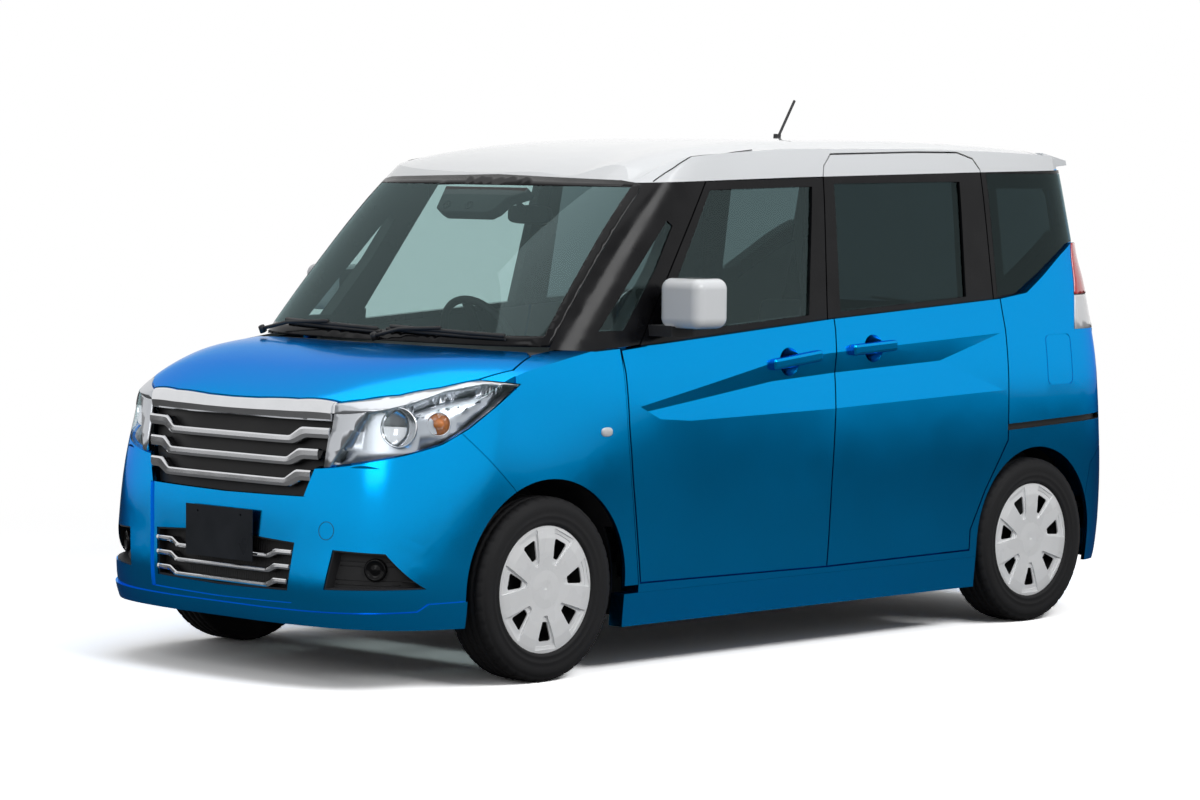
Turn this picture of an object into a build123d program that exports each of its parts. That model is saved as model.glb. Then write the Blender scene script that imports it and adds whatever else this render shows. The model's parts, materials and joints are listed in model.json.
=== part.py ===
"""Compact minivan: body panels, glass, running gear and cabin as separate solids, in millimetres.

+X is forward, +Y is left and +Z is up. The origin is on the ground, midway along the vehicle.
"""
import os
from math import atan2, cos, degrees, radians, sin, sqrt, tan

from build123d import *

# Driving dimensions
length = 3710.0
width = 1625.0
height = 1745.0
wheelbase = 2480.0
front_overhang = 703.0
front_track = 1430.0
rear_track = 1435.0
tyre_radius = 297.75
tyre_width = 165.0
rim_radius = 190.5
front_arch_radius = 345.0
rear_arch_radius = 330.0
kingpin_inset = 65.0
kingpin_lean = 11.0

# Panel thicknesses and clearances
skin = 14.0
door_wall = 60.0
frame_wall = 40.0
glass_wall = 5.0
shut_gap = 6.0
flange = 16.0
seam = 0.3
fit = seam / 2
lamp_gap = 2.0  # between the headlamp and the fender
fender_tip = 775.0  # the fender's thin tip over the lamp is blunted beyond this width
clearance = 6.0

# Pressed forms
crease_step = 0.4
lower_lean = 4.5
upper_lean = 8.0
fade_lean = 1.7
grip_height = 38.0
grip_proud = 24.0
grip_set = 8.0
grip_round = 10.0
dish_radius = 52.0
dish_depth = 22.0
lid_groove = 3.0
slot_depth = 14.0
cover_spokes = 7
cover_wall = 12.0
pocket_depth = 7.0
lip_proud = 7.0
panel_inset = 7.0

front_axle = length / 2 - front_overhang
rear_axle = front_axle - wheelbase
half = width / 2
ground_z = 170.0


def at(x):
    """Station along the vehicle, scaled with its length."""
    return x * length / 3710.0


def up(z):
    """Height above the ground, scaled with the vehicle's height."""
    return z * height / 1745.0


def across(y):
    """Distance from the middle plane, scaled with the vehicle's width."""
    return y * width / 1625.0


def table(rows, z):
    """Straight-line interpolation in a list of (height, value) rows."""
    if z <= rows[0][0]:
        return rows[0][1]
    for (z0, v0), (z1, v1) in zip(rows, rows[1:]):
        if z <= z1:
            return v0 + (v1 - v0) * (z - z0) / (z1 - z0)
    return rows[-1][1]


# Plan shape of the lower body and of the greenhouse: (height, reach) rows
FLANK_FRONT = ((150, 1808), (200, 1835), (260, 1850), (340, 1850), (450, 1842), (560, 1834),
               (640, 1826), (740, 1812), (850, 1797), (900, 1790), (980, 1778), (1240, 1600),
               (1400, 1500))
FLANK_REAR = ((150, 1800), (260, 1843), (420, 1853), (560, 1851), (700, 1842), (850, 1832),
              (1000, 1822), (1120, 1806), (1240, 1790), (1400, 1764))
FLANK_SIDE = ((150, 789), (260, 799), (420, 806), (560, 809), (650, 810), (760, 809),
              (880, 805), (960, 798), (1040, 787), (1120, 774), (1240, 754), (1400, 728))
HOUSE_FRONT = ((960, 1275), (1050, 1197), (1200, 1060), (1350, 912), (1500, 752), (1618, 607),
               (1680, 520), (1790, 360))
HOUSE_REAR = ((960, 1812), (1050, 1808), (1200, 1790), (1350, 1766), (1500, 1742), (1618, 1726),
              (1680, 1718), (1790, 1700))
HOUSE_SIDE = ((960, 765), (1050, 752), (1200, 732), (1350, 712), (1500, 692), (1618, 673),
              (1680, 660), (1790, 625))
NOSE_P = ((150, 11), (450, 11), (640, 10), (860, 9), (1240, 9))
NOSE_Q = ((150, 3.5), (450, 3.5), (640, 3.4), (860, 3.0), (1240, 3.0))
FLANK_POWERS = (NOSE_P, NOSE_Q, 20.0, 8.0)
HOUSE_POWERS = (((0, 12),), ((0, 3),), 22.0, 9.0)
FLANK_LEVELS = (150, 260, 420, 560, 650, 760, 880, 960, 1040, 1120, 1240, 1400)
HOUSE_LEVELS = (960, 1050, 1200, 1350, 1500, 1618, 1680, 1790)
FRONT_STEPS = ((0.0, 0.35, 0.6, 0.78, 0.9, 0.965), (0.75, 0.4))
REAR_STEPS = ((0.0, 0.5, 0.8, 0.92, 0.97, 0.993), (0.75, 0.4))
# Middle-plane profile of the roof and bonnet, and the bonnet's crown half width
ROOF_TOP = ((300, 1712), (470, 1672), (607, 1618), (800, 1500))
ROOF_STATIONS = ((-1950, 1660), (-1712, 1704), (-1400, 1728), (-1000, 1743), (-600, 1745),
                 (-300, 1743), (0, 1733), (250, 1711), (450, 1674), (600, 1621), (760, 1540))
BONNET_TOP = ((650, 1100), (850, 1085), (1000, 1075), (1207, 1060), (1312, 1053), (1412, 1041), (1512, 1023),
              (1612, 996), (1692, 961), (1752, 927), (1800, 888), (1860, 830))
BONNET_HALF = ((650, 1200), (850, 1090), (1000, 1020), (1207, 925), (1312, 870), (1412, 812), (1512, 768),
               (1612, 724), (1692, 660), (1752, 560), (1800, 470), (1860, 380))
BONNET_POWER = ((1412, 5.0), (1512, 4.36), (1612, 3.65), (1692, 3.52), (1752, 4.3), (1800, 5.0))
BELT = ((1600, 1100), (1300, 1075), (1162, 1062), (927, 1050), (618, 1067), (-232, 1126), (-1156, 1176),
        (-1313, 1195), (-1432, 1259), (-1555, 1329), (-1641, 1372), (-1950, 1385))
ROOF_LINE = ((900, 1585), (568, 1591), (-156, 1610), (-1149, 1629), (-1950, 1642))
# Outlines seen from the left side, as (x, height) corners
MID_SHUT = ((-188, 280), (-201, 580), (-219, 818), (-245, 1089), (-243, 1130), (-288, 1612))
FRONT_DOOR = ((733, 290), (780, 631), (795, 795), (802, 978), (813, 1052), (697, 1063),
              (308, 1598)) + MID_SHUT[::-1]
SLIDING_DOOR = MID_SHUT + ((-299, 1650), (-344, 1690), (-796, 1699), (-1033, 1699), (-1115, 1677),
                           (-1149, 1638), (-1156, 1178), (-1168, 1065), (-1160, 669),
                           (-1036, 496), (-958, 357), (-958, 285))
FRONT_WINDOW = ((616, 1092), (293, 1567), (-225, 1578), (-150, 1140))
SLIDING_WINDOW = ((-340, 1588), (-1025, 1595), (-1003, 1186), (-314, 1149))
FRONT_QUARTER = ((870, 1112), (765, 1112), (592, 1307), (492, 1450), (515, 1467))
# Creases of the hollow pressed along the doors, as (x, height) rows from rear to front
UPPER_CREASE = ((-1135, 1054), (-205, 1011), (104, 986), (745, 866))
LOWER_CREASE = ((-1143, 850), (-189, 821), (510, 811), (653, 822))
FRONT_HANDLE = ((104, 981), (-142, 1006), 0.40)
SLIDING_HANDLE = ((-310, 1018), (-539, 1029), 0.55)
FUEL_LID = ((-1394, 861), (-1542, 861), (-1542, 1040), (-1394, 1040))
RAIL_SLOT = ((-1150, 704), (-1738, 724), (-1738, 746), (-1150, 727))
REAR_QUARTER = ((-1200, 1205), (-1305, 1215), (-1420, 1278), (-1548, 1350), (-1640, 1395),
                (-1690, 1400), (-1690, 1605), (-1200, 1605))


def quarter_points(reach, side, p, q, steps):
    """Points of one superellipse quarter, from the middle plane out to the flank."""
    across_steps, along_steps = steps
    points = [(reach * (1 - s ** q) ** (1 / p), side * s) for s in across_steps]
    points += [(reach * u, side * (1 - u ** p) ** (1 / q)) for u in along_steps]
    return points


def outline(z, front, rear, side, powers):
    """Left half of the body's plan outline at height z, from tail to nose."""
    nose_p, nose_q, tail_p, tail_q = powers
    nose = quarter_points(front, side, table(nose_p, z), table(nose_q, z), FRONT_STEPS)
    tail = quarter_points(rear, side, tail_p, tail_q, REAR_STEPS)
    return [(-x, y) for x, y in tail] + [(0.0, side)] + nose[::-1]


def plan_wire(z, run, spacing):
    """Closed outline at height z, as a left and a right spline."""
    edges = []
    for way in (1, -1):
        points = [Vector(x, way * y, up(z)) for x, y in run]
        ends = [Vector(0, way, 0), Vector(0, -way, 0)]
        edges.append(Edge.make_spline(points, tangents=ends, parameters=spacing))
    return Wire(edges)


def chord_spacing(run):
    """Spline parameters shared by every outline of one surface."""
    marks = [0.0]
    for (x0, y0), (x1, y1) in zip(run, run[1:]):
        marks.append(marks[-1] + sqrt((x1 - x0) ** 2 + (y1 - y0) ** 2))
    return [mark / marks[-1] for mark in marks]


def lofted(levels, fronts, rears, sides, powers, inset):
    """Body volume through its outlines at the given heights, drawn in by inset."""
    spacing = None
    wires = []
    for z in levels:
        front = at(table(fronts, z)) - inset
        rear = at(table(rears, z)) - inset
        side = across(table(sides, z)) - inset
        run = outline(z, front, rear, side, powers)
        spacing = spacing or chord_spacing(run)
        wires.append(plan_wire(z, run, spacing))
    return Solid.make_loft(wires)


cache = {}


def flank(inset):
    """Lower body volume."""
    key = ("flank", inset)
    if key not in cache:
        cache[key] = lofted(FLANK_LEVELS, FLANK_FRONT, FLANK_REAR, FLANK_SIDE, FLANK_POWERS, inset)
    return cache[key]


def house(inset):
    """Greenhouse volume, without its roof."""
    key = ("house", inset)
    if key not in cache:
        cache[key] = lofted(HOUSE_LEVELS, HOUSE_FRONT, HOUSE_REAR, HOUSE_SIDE, HOUSE_POWERS, inset)
    return cache[key]


def crowned(stations, base, m, drop):
    """Volume under a crowned surface through (x, top height, half width, power) stations."""
    steps = (0.0, 0.3, 0.55, 0.75, 0.88, 0.95, 0.985)
    wires = []
    for x, top, wide, n in stations:
        rise = up(top) - up(base)
        side = [(across(wide) * s, up(base) + rise * (1 - s ** n) ** (1 / m) - drop)
                for s in steps]
        side.append((across(wide), up(base) - drop))
        run = [(-y, z) for y, z in side[:0:-1]] + side
        points = [Vector(at(x), y, z) for y, z in run]
        ends = [Vector(0, 0, 1), Vector(0, 0, -1)]
        top_edge = Edge.make_spline(points, tangents=ends)
        low = up(base) - 500
        foot = [points[-1], Vector(at(x), points[-1].Y, low), Vector(at(x), points[0].Y, low),
                points[0]]
        lines = [Edge.make_line(a, b) for a, b in zip(foot, foot[1:])]
        wires.append(Wire([top_edge] + lines))
    return Solid.make_loft(wires)


def roof_dome(drop):
    """Volume under the roof's outer skin."""
    key = ("roof", drop)
    if key not in cache:
        stations = [(x, top, 722, 3.2) for x, top in ROOF_STATIONS]
        cache[key] = crowned(stations, 1560, 5.0, drop)
    return cache[key]


def bonnet_dome(drop):
    """Volume under the bonnet's outer skin."""
    key = ("bonnet", drop)
    if key not in cache:
        stations = [(x, top, table(BONNET_HALF, x), table(BONNET_POWER, x))
                    for x, top in BONNET_TOP]
        cache[key] = crowned(stations, 700, 3.24, drop)
    return cache[key]


def side_sketch(points, radius=0.0):
    """Sketch of an outline seen from the side: x along, height up."""
    sketch = make_face(Polyline(*[(at(x), up(z)) for x, z in points], close=True))
    return fillet(sketch.vertices(), radius) if radius else sketch


def through(sketch, near, far):
    """Side sketch carried across the vehicle from y = near to y = far."""
    plane = Plane(origin=(0, far, 0), x_dir=(1, 0, 0), z_dir=(0, -1, 0))
    return extrude(plane * sketch, far - near)


def flipped(part):
    """Mirror image on the vehicle's other side."""
    return part.mirror(Plane.XZ)


def save(node, shape):
    """Write one named piece, all its solids in one file."""
    solids = shape.solids()
    piece = solids[0] if len(solids) == 1 else Compound(children=solids)
    piece.label = node
    export_step(piece, os.path.join("parts", node + ".step"))


def join(*parts):
    """Union of several parts."""
    whole = parts[0]
    for part in parts[1:]:
        whole = whole + part
    return whole


def block(x0, x1, y0, y1, z0, z1):
    """Box between two corners."""
    return Pos((x0 + x1) / 2, (y0 + y1) / 2, (z0 + z1) / 2) * Box(x1 - x0, y1 - y0, z1 - z0)


def rod(start, end, radius):
    """Round bar between two points."""
    line = Vector(*end) - Vector(*start)
    plane = Plane(origin=start, z_dir=line)
    return plane * Cylinder(radius, line.length, align=(Align.CENTER, Align.CENTER, Align.MIN))


def wheel_drum(x, y0, y1, radius, z=None):
    """Cylinder about an axle line, from y0 to y1."""
    z = tyre_radius if z is None else z
    return Pos(x, (y0 + y1) / 2, z) * Rot(90, 0, 0) * Cylinder(radius, y1 - y0)


def cabin(inset):
    """Greenhouse volume under its roof."""
    key = ("cabin", inset)
    if key not in cache:
        slab = block(-2000, 900, -900, 900, up(1600), up(1950))
        cache[key] = house(inset) - (slab - roof_dome(inset))
    return cache[key]


def below(rows, shift=0.0):
    """Everything under a line of (x, height) rows, as a slab across the vehicle."""
    corners = [(x, z + shift) for x, z in rows]
    corners += [(rows[-1][0], -50), (rows[0][0], -50)]
    return through(side_sketch(corners), -half - 50, half + 50)


def arches(radius_f, radius_r, y0, y1):
    """Round wheel openings on the left side, reaching down past the sill."""
    cuts = []
    for x, radius in ((front_axle, radius_f), (rear_axle, radius_r)):
        cuts.append(wheel_drum(x, y0, y1, radius, tyre_radius + 10))
        cuts.append(block(x - radius, x + radius, y0, y1, 0, tyre_radius + 10))
    return join(*cuts)


def side_band(points, y0, y1, grow=0.0):
    """Side outline grown by an amount and carried from y0 to y1."""
    sketch = side_sketch(points)
    if grow:
        sketch = offset(sketch, amount=grow, kind=Kind.INTERSECTION)
    return through(sketch, y0, y1)


def door_shapes(points):
    """Lower wall and upper frame of one left door, glass opening not yet cut."""
    panel = side_band(points, 300, 1000, -shut_gap / 2)
    lower = (panel & below(BELT, -0.5) & flank(0.0)) - flank(door_wall)
    upper = ((panel - below(BELT)) & cabin(0.0)) - cabin(frame_wall)
    return lower, upper


def door_opening(points):
    """Room that one left door takes in the body side."""
    wall = side_band(points, 300, 1000, shut_gap / 2)
    rim = side_band(points, 300, 1000, -flange)
    low = (wall & below(BELT)) - flank(door_wall + clearance)
    high = (wall - below(BELT)) - cabin(frame_wall + clearance)
    return join(low, high, rim)


# ---- pressed forms of the doors ----
def side_point(x, z):
    """Point on the left flank at station x and height z, near the middle of the wheelbase."""
    return Vector(at(x), across(table(FLANK_SIDE, z)), up(z))


def leaning(rear, front, angle):
    """Lower body volume tipped about a crease line of its left flank, positive leaning inward."""
    start, end = side_point(*rear), side_point(*front)
    return Pos(0, -crease_step, 0) * flank(0.0).rotate(Axis(start, end - start), angle)


def fading(x, angle):
    """Lower body volume turned about an upright line of its left flank at station x."""
    return flank(0.0).rotate(Axis(side_point(x, 900), (0, 0, 1)), -angle)


def front_door_hollow():
    """What is pressed out of the left front door between the two creases."""
    rear, middle, knee, tip = UPPER_CREASE
    low = LOWER_CREASE
    band = side_band((tip, knee, middle, (-260, 1013), (-260, 822), low[1], low[2], low[3]),
                     600, 1000)
    for volume in (leaning(low[1], low[2], lower_lean), leaning(knee, tip, -upper_lean),
                   leaning(middle, knee, -upper_lean)):
        band = band - volume
    return band


def sliding_door_hollow():
    """What is pressed out of the left sliding door, fading towards its rear edge."""
    rear, middle = UPPER_CREASE[:2]
    low = LOWER_CREASE
    band = side_band(((-180, 1010), rear, (-1175, 1056), (-1175, 851), low[0], (-180, 821)),
                     600, 1000)
    for volume in (leaning(low[0], low[1], lower_lean), leaning(rear, middle, -upper_lean),
                   fading(-1150, fade_lean)):
        band = band - volume
    return band


def with_handle(door, ends):
    """Left door with its finger dish and the grip bar across it."""
    (x0, z0), (x1, z1), share = ends
    front, back = side_point(x0, z0), side_point(x1, z1)
    middle = (front + back) / 2
    dish = front + (back - front) * share
    run = Vector(front.X - back.X, 0, front.Z - back.Z)
    slope = degrees(atan2(-run.Z, run.X))
    bar = fillet(Box(run.length, grip_proud + grip_set, grip_height).edges(), grip_round)
    grip = Pos(middle.X, middle.Y + (grip_proud - grip_set) / 2, middle.Z) * Rot(0, slope, 0) * bar
    ball = (dish_radius ** 2 + dish_depth ** 2) / (2 * dish_depth)
    hollow = Pos(dish.X, dish.Y + ball - dish_depth, dish.Z) * Sphere(ball)
    return join(door - hollow, grip)


# ---- body panels ----
def nose_volume(inset):
    """Front of the lower body, under the bonnet's skin."""
    key = ("nose", inset)
    if key not in cache:
        front = block(at(1000), at(1870), -900, 900, up(200), up(1100))
        slab = block(at(900), at(1855), -950, 950, up(702), up(1200))
        cache[key] = (front & flank(inset)) - (slab - bonnet_dome(inset))
    return cache[key]


NOSE_START = 1000
BONNET_EDGE = ((1120, 660), (1147, 702), (1268, 748), (1392, 722), (1512, 672), (1622, 606),
               (1700, 520), (1738, 462), (1772, 300), (1784, 120), (1786, 0))
COWL_LINE = ((1120, 660), (1180, 560), (1222, 350), (1240, 0))
LAMP_SIDE = ((1268, 957), (1392, 972), (1512, 958), (1622, 931), (1740, 902), (1800, 894),
             (1810, 690), (1733, 724), (1662, 746), (1562, 778), (1470, 826), (1352, 905))
GRILLE_FRONT = ((450, 918), (448, 812), (372, 604), (0, 598), (-372, 604), (-448, 812),
                (-450, 918), (-240, 935), (0, 942), (240, 935))
LOWER_GRILLE = ((340, 458), (320, 306), (0, 300), (-320, 306), (-340, 458), (0, 476))
SPLIT = ((1312, 633), (1527, 823))


def plan_sketch(points):
    """Sketch seen from above, mirrored across the middle plane."""
    left = [(at(x), across(y)) for x, y in points]
    right = [(x, -y) for x, y in left[::-1] if y]
    return make_face(Polyline(*(left + right), close=True))


def front_band(points, x0, x1, grow=0.0):
    """Outline seen from the front, carried along the vehicle from x0 to x1."""
    corners = [(across(y), up(z)) for y, z in points]
    sketch = make_face(Polyline(*corners, close=True))
    if grow:
        sketch = offset(sketch, amount=grow, kind=Kind.INTERSECTION)
    plane = Plane(origin=(at(x0), 0, 0), x_dir=(0, 1, 0), z_dir=(1, 0, 0))
    return extrude(plane * sketch, at(x1) - at(x0))


def bonnet_zone(grow=0.0):
    """Slab in plan covering the bonnet."""
    sketch = plan_sketch(BONNET_EDGE[::-1] + COWL_LINE[1:])
    if grow:
        sketch = offset(sketch, amount=grow, kind=Kind.INTERSECTION)
    return extrude(Plane(origin=(0, 0, up(860))) * sketch, up(260))


def lamp_zone(grow=0.0):
    """Left headlamp's outline, carried in from the side."""
    return side_band(LAMP_SIDE, 400, 900, grow)


def bonnet():
    """Crowned lid over the engine bay with its front lip."""
    return (bonnet_zone(-shut_gap / 2) & nose_volume(0.0)) - nose_volume(skin)


def grille_zone(grow=0.0):
    return front_band(GRILLE_FRONT, 1500, 1900, grow)


def headlamp():
    """Left headlamp: a thick lens block set in the corner of the nose."""
    zone = lamp_zone(-1.5) - bonnet_zone(shut_gap / 2) - grille_zone(fit)
    return (zone & nose_volume(0.0)) - nose_volume(90.0) - block(0, 2000, -900, 440, 0, 1500)


def bumper_zone(grow=0.0):
    """Everything ahead of and below the bumper's split from the fender."""
    corners = [(1527, 840), (1312, 633), (1250, 560), (1250, 150), (1900, 150), (1900, 940),
               (1560, 940)]
    sketch = side_sketch(corners)
    if grow:
        sketch = offset(sketch, amount=grow, kind=Kind.INTERSECTION)
    return through(sketch, -half - 50, half + 50)


def front_bumper():
    """Front skin with its wheel arch ends, grille, lamp and air openings cut."""
    zone = bumper_zone(-1.0) & block(1000, 1900, -900, 900, up(200), up(1000))
    shell = (zone & nose_volume(0.0)) - nose_volume(skin)
    shell -= bonnet_zone(shut_gap / 2)
    shell -= grille_zone(fit)
    for lamp in (lamp_zone(1.5), flipped(lamp_zone(1.5))):
        shell -= lamp
    shell -= front_band(LOWER_GRILLE, 1500, 1900, fit)
    for cut in (fog_zone(fit), flipped(fog_zone(fit))):
        shell -= cut
    shell -= front_band(CENTRE_PANEL, 1500, 1900) - nose_volume(panel_inset)
    lip = through(side_sketch(LIP), -half - 50, half + 50) & flank(-lip_proud)
    shell = join(shell, lip - flank(skin))
    for way in (1, -1):
        shell -= plate_bolt(1700, way)
    wells = arches(front_arch_radius, rear_arch_radius, 400, 1000)
    return shell - wells - flipped(wells)


CENTRE_PANEL = ((385, 606), (345, 268), (0, 262), (-345, 268), (-385, 606), (0, 600))
LIP = ((1900, 243), (1660, 258), (1628, 282), (1250, 290), (1250, 200), (1900, 200))

plate_bolt_spacing = 210.0
plate_bolt_radius = 3.5
plate_bolt_z = 530.0


def plate_bolt(x, way):
    """Bolt hole of the number plate, running forward from station x."""
    y = way * plate_bolt_spacing / 2
    return rod((x, y, plate_bolt_z), (x + 400, y, plate_bolt_z), plate_bolt_radius)


def front_plate():
    """Blank number plate on the front bumper."""
    x = at(1846)
    plate = block(x, x + 2, -165, 165, plate_bolt_z - 145, plate_bolt_z + 20)
    pads = [block(x - 60, x, way * 105 - 12, way * 105 + 12, plate_bolt_z - 12, plate_bolt_z + 12)
            for way in (1, -1)]
    whole = join(plate, *pads) - nose_volume(panel_inset - seam)
    for way in (1, -1):
        whole -= plate_bolt(x - 100, way)
    return whole


def fog_zone(grow=0.0):
    """Left fog lamp recess, seen along the diagonal."""
    corners = [(475, 320), (500, 446), (660, 440), (742, 330)]
    return front_band(corners, 1400, 1900, grow)


def front_fender():
    """Left fender between door, bonnet, lamp and bumper."""
    zone = block(at(700), at(1560), 640, 900, up(285), up(1100)) & below(BELT, -0.5)
    zone = zone - bumper_zone(1.0) - bonnet_zone(shut_gap / 2) - lamp_zone(lamp_gap)
    door = side_band(FRONT_DOOR, 300, 1000, shut_gap / 2)
    behind = side_band(((823, 1100), (812, 978), (805, 795), (790, 631), (743, 280), (600, 280),
                        (600, 1100)), 300, 1000)
    behind_bonnet = block(at(700), at(1150), 400, across(694), up(200), up(1200))
    zone = zone - door - behind - arches(front_arch_radius, rear_arch_radius, 300, 1000)
    zone = zone - behind_bonnet
    slab = block(at(700), at(1560), 300, 950, up(702), up(1200))
    thin_tip = block(at(1285), at(1400), fender_tip, 900, up(940), up(1100))
    outer = ((zone - thin_tip) & flank(0.0)) - (slab - bonnet_dome(0.0))
    return outer - (flank(skin) - (slab - bonnet_dome(skin)))


def body_side():
    """Left lower body side: sills, door posts and rear quarter."""
    zone = block(at(-1745), at(812), 500, 900, up(200), up(1400)) & below(BELT, -0.5)
    front = side_band(((1300, 1200), (819, 1200), (810, 978), (803, 795), (788, 631), (741, 290),
                       (741, 100), (1300, 100)), 300, 1000, 0)
    wall = ((zone - front) & flank(0.0)) - flank(door_wall + clearance + skin)
    wall = wall - door_opening(FRONT_DOOR) - door_opening(SLIDING_DOOR)
    wall = wall - arches(front_arch_radius, rear_arch_radius, 300, 1000)
    wall = wall - tail_lamp_zone(fit) - rear_bumper_zone(1.0) - tailgate_zone(shut_gap / 2)
    return wall - skirt_zone(0.5) - (side_band(RAIL_SLOT, 600, 1000) - flank(slot_depth))


def fuel_lid_groove():
    """Groove round the fuel lid, on the left side only."""
    lid = side_sketch(FUEL_LID, 20.0)
    ring = offset(lid, amount=lid_groove / 2) - offset(lid, amount=-lid_groove / 2)
    return through(ring, 600, 1000) - flank(lid_groove)


def skirt_zone(grow=0.0):
    """Slab holding the sill skirt."""
    return block(at(-1010) - grow, at(830) + grow, 640, 900, up(150), up(258) + grow)


def side_skirt():
    """Left sill skirt between the wheel arches."""
    zone = skirt_zone() - arches(front_arch_radius, rear_arch_radius, 300, 1000)
    return (zone & flank(0.0)) - flank(door_wall)


TAIL_LAMP = ((-1640, 1372), (-1578, 1057), (-1950, 1057), (-1950, 1385))


def tail_lamp_zone(grow=0.0):
    """Left tail lamp's outline, seen from the side and cut off at the tailgate."""
    return side_band(TAIL_LAMP, 300, 1000, grow) - tailgate_zone(shut_gap / 2)


def rear_bumper_zone(grow=0.0):
    corners = [(-1560, 150), (-1660, 560), (-1740, 620), (-1950, 620), (-1950, 150)]
    sketch = side_sketch(corners)
    if grow:
        sketch = offset(sketch, amount=grow, kind=Kind.INTERSECTION)
    return through(sketch, -half - 50, half + 50)


TAILGATE = ((600, 545), (655, 700), (672, 1000), (650, 1385), (600, 1640), (560, 1760))


def tailgate_zone(grow=0.0):
    """Tailgate's outline from behind, carried forward through the rear wall."""
    left = [(across(y), up(z)) for y, z in TAILGATE]
    right = [(-y, z) for y, z in left[::-1]]
    sketch = make_face(Polyline(*(left + right), close=True))
    if grow:
        sketch = offset(sketch, amount=grow, kind=Kind.INTERSECTION)
    plane = Plane(origin=(at(-1950), 0, 0), x_dir=(0, 1, 0), z_dir=(1, 0, 0))
    return extrude(plane * sketch, at(1950 - 1600))


def tail_lamp():
    """Left tail lamp block."""
    zone = tail_lamp_zone(-fit) & block(-1900, -1400, 500, 900, up(1000), up(1370))
    return (zone & flank(0.0)) - flank(50.0)


def rear_bumper():
    """Rear skin below the tailgate."""
    zone = rear_bumper_zone(-1.0) & block(-1900, -1400, -900, 900, up(200), up(700))
    shell = ((zone & flank(0.0)) - flank(skin)) - tailgate_zone(shut_gap / 2)
    wells = arches(front_arch_radius, rear_arch_radius, 300, 1000)
    return shell - wells - flipped(wells)



# ---- greenhouse ----
def roof_zone():
    """Everything above the line between the dark glass band and the painted roof."""
    corners = ROOF_LINE + ((-1950, 1900), (900, 1900))
    return through(side_sketch(corners), -half - 50, half + 50)


def tail_cut():
    """Slab behind the tailgate's shut line in the roof."""
    return block(at(-1950), at(-1600), -half, half, up(900), up(1900))


def roof():
    """Painted roof panel with its cant rails and windscreen header."""
    shell = ((roof_zone() & cabin(0.0)) - cabin(22.0)) - tail_cut()
    shell = shell - windscreen_zone(fit)
    door = side_band(SLIDING_DOOR, 594, 1000, shut_gap / 2)
    return shell - door - flipped(door)


def windscreen_zone(grow=0.0):
    """Windscreen's outline seen from the front."""
    corners = [(690, 1050), (640, 1560), (628, 1588), (560, 1598), (0, 1612), (-560, 1598),
               (-628, 1588), (-640, 1560), (-690, 1050), (0, 1040)]
    return front_band(corners, 350, 1400, grow)


def windscreen():
    """Curved front glass."""
    zone = windscreen_zone(-fit) & block(300, 1400, -900, 900, up(1064), up(1700))
    return (zone & cabin(0.0)) - cabin(glass_wall + 2.0)


def window_zone(points, grow=0.0):
    return side_band(points, 300, 1000, grow)


def pillar_frame():
    """Left windscreen pillar, door posts and the dark band over the windows."""
    zone = block(at(-1690), at(1270), 500, 900, up(1040), up(1700)) - below(BELT)
    zone = (zone - roof_zone()) - tailgate_zone(shut_gap / 2 + 3.0)
    shell = (zone & cabin(0.0)) - cabin(frame_wall + clearance + skin)
    shell = shell - windscreen_zone(fit)
    shell = shell - door_opening(FRONT_DOOR) - door_opening(SLIDING_DOOR)
    shell = shell - window_zone(FRONT_QUARTER)
    seat = window_zone(REAR_QUARTER, 20.0) - cabin(glass_wall + 1.0)
    return shell - seat - window_zone(REAR_QUARTER, -35.0)


def front_quarter_glass():
    """Left fixed pane ahead of the front door."""
    pane = window_zone(FRONT_QUARTER, -seam) & cabin(4.0)
    return pane - cabin(4.0 + glass_wall)


def rear_quarter_glass():
    """Left rear side pane, flush with the body."""
    pane = (window_zone(REAR_QUARTER, 19.0) & cabin(0.0)) - cabin(glass_wall) - below(BELT, 3.0)
    return pane - tailgate_zone(shut_gap / 2 + 3.0)


def front_door():
    """Left front door's painted wall with its handle."""
    return with_handle(door_shapes(FRONT_DOOR)[0] - front_door_hollow(), FRONT_HANDLE)


def front_door_frame():
    """Left front door's dark window frame."""
    return door_shapes(FRONT_DOOR)[1] - window_zone(FRONT_WINDOW)


def front_door_glass():
    """Left front door's pane."""
    return (window_zone(FRONT_WINDOW, -seam) & cabin(8.0)) - cabin(8.0 + glass_wall)


def sliding_door():
    """Left sliding door's painted wall with its handle."""
    return with_handle(door_shapes(SLIDING_DOOR)[0] - sliding_door_hollow(), SLIDING_HANDLE)


def sliding_door_frame():
    """Left sliding door's dark window frame."""
    return door_shapes(SLIDING_DOOR)[1] - window_zone(SLIDING_WINDOW) - roof_zone()


def sliding_door_top():
    """Painted rail at the head of the left sliding door."""
    outer = block(-1300, 0, 600, 900, up(1500), up(1750))
    return door_shapes(SLIDING_DOOR)[1] & roof_zone() & outer


def sliding_door_glass():
    """Left sliding door's pane."""
    return (window_zone(SLIDING_WINDOW, -seam) & cabin(8.0)) - cabin(8.0 + glass_wall)


REAR_WINDOW = ((560, 1120), (585, 1180), (560, 1540), (520, 1590))


def rear_window_zone(grow=0.0):
    left = [(across(y), up(z)) for y, z in REAR_WINDOW]
    right = [(-y, z) for y, z in left[::-1]]
    sketch = make_face(Polyline(*(left + right), close=True))
    if grow:
        sketch = offset(sketch, amount=grow, kind=Kind.INTERSECTION)
    plane = Plane(origin=(at(-1950), 0, 0), x_dir=(0, 1, 0), z_dir=(1, 0, 0))
    return extrude(plane * sketch, at(1950 - 1600))


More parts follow.
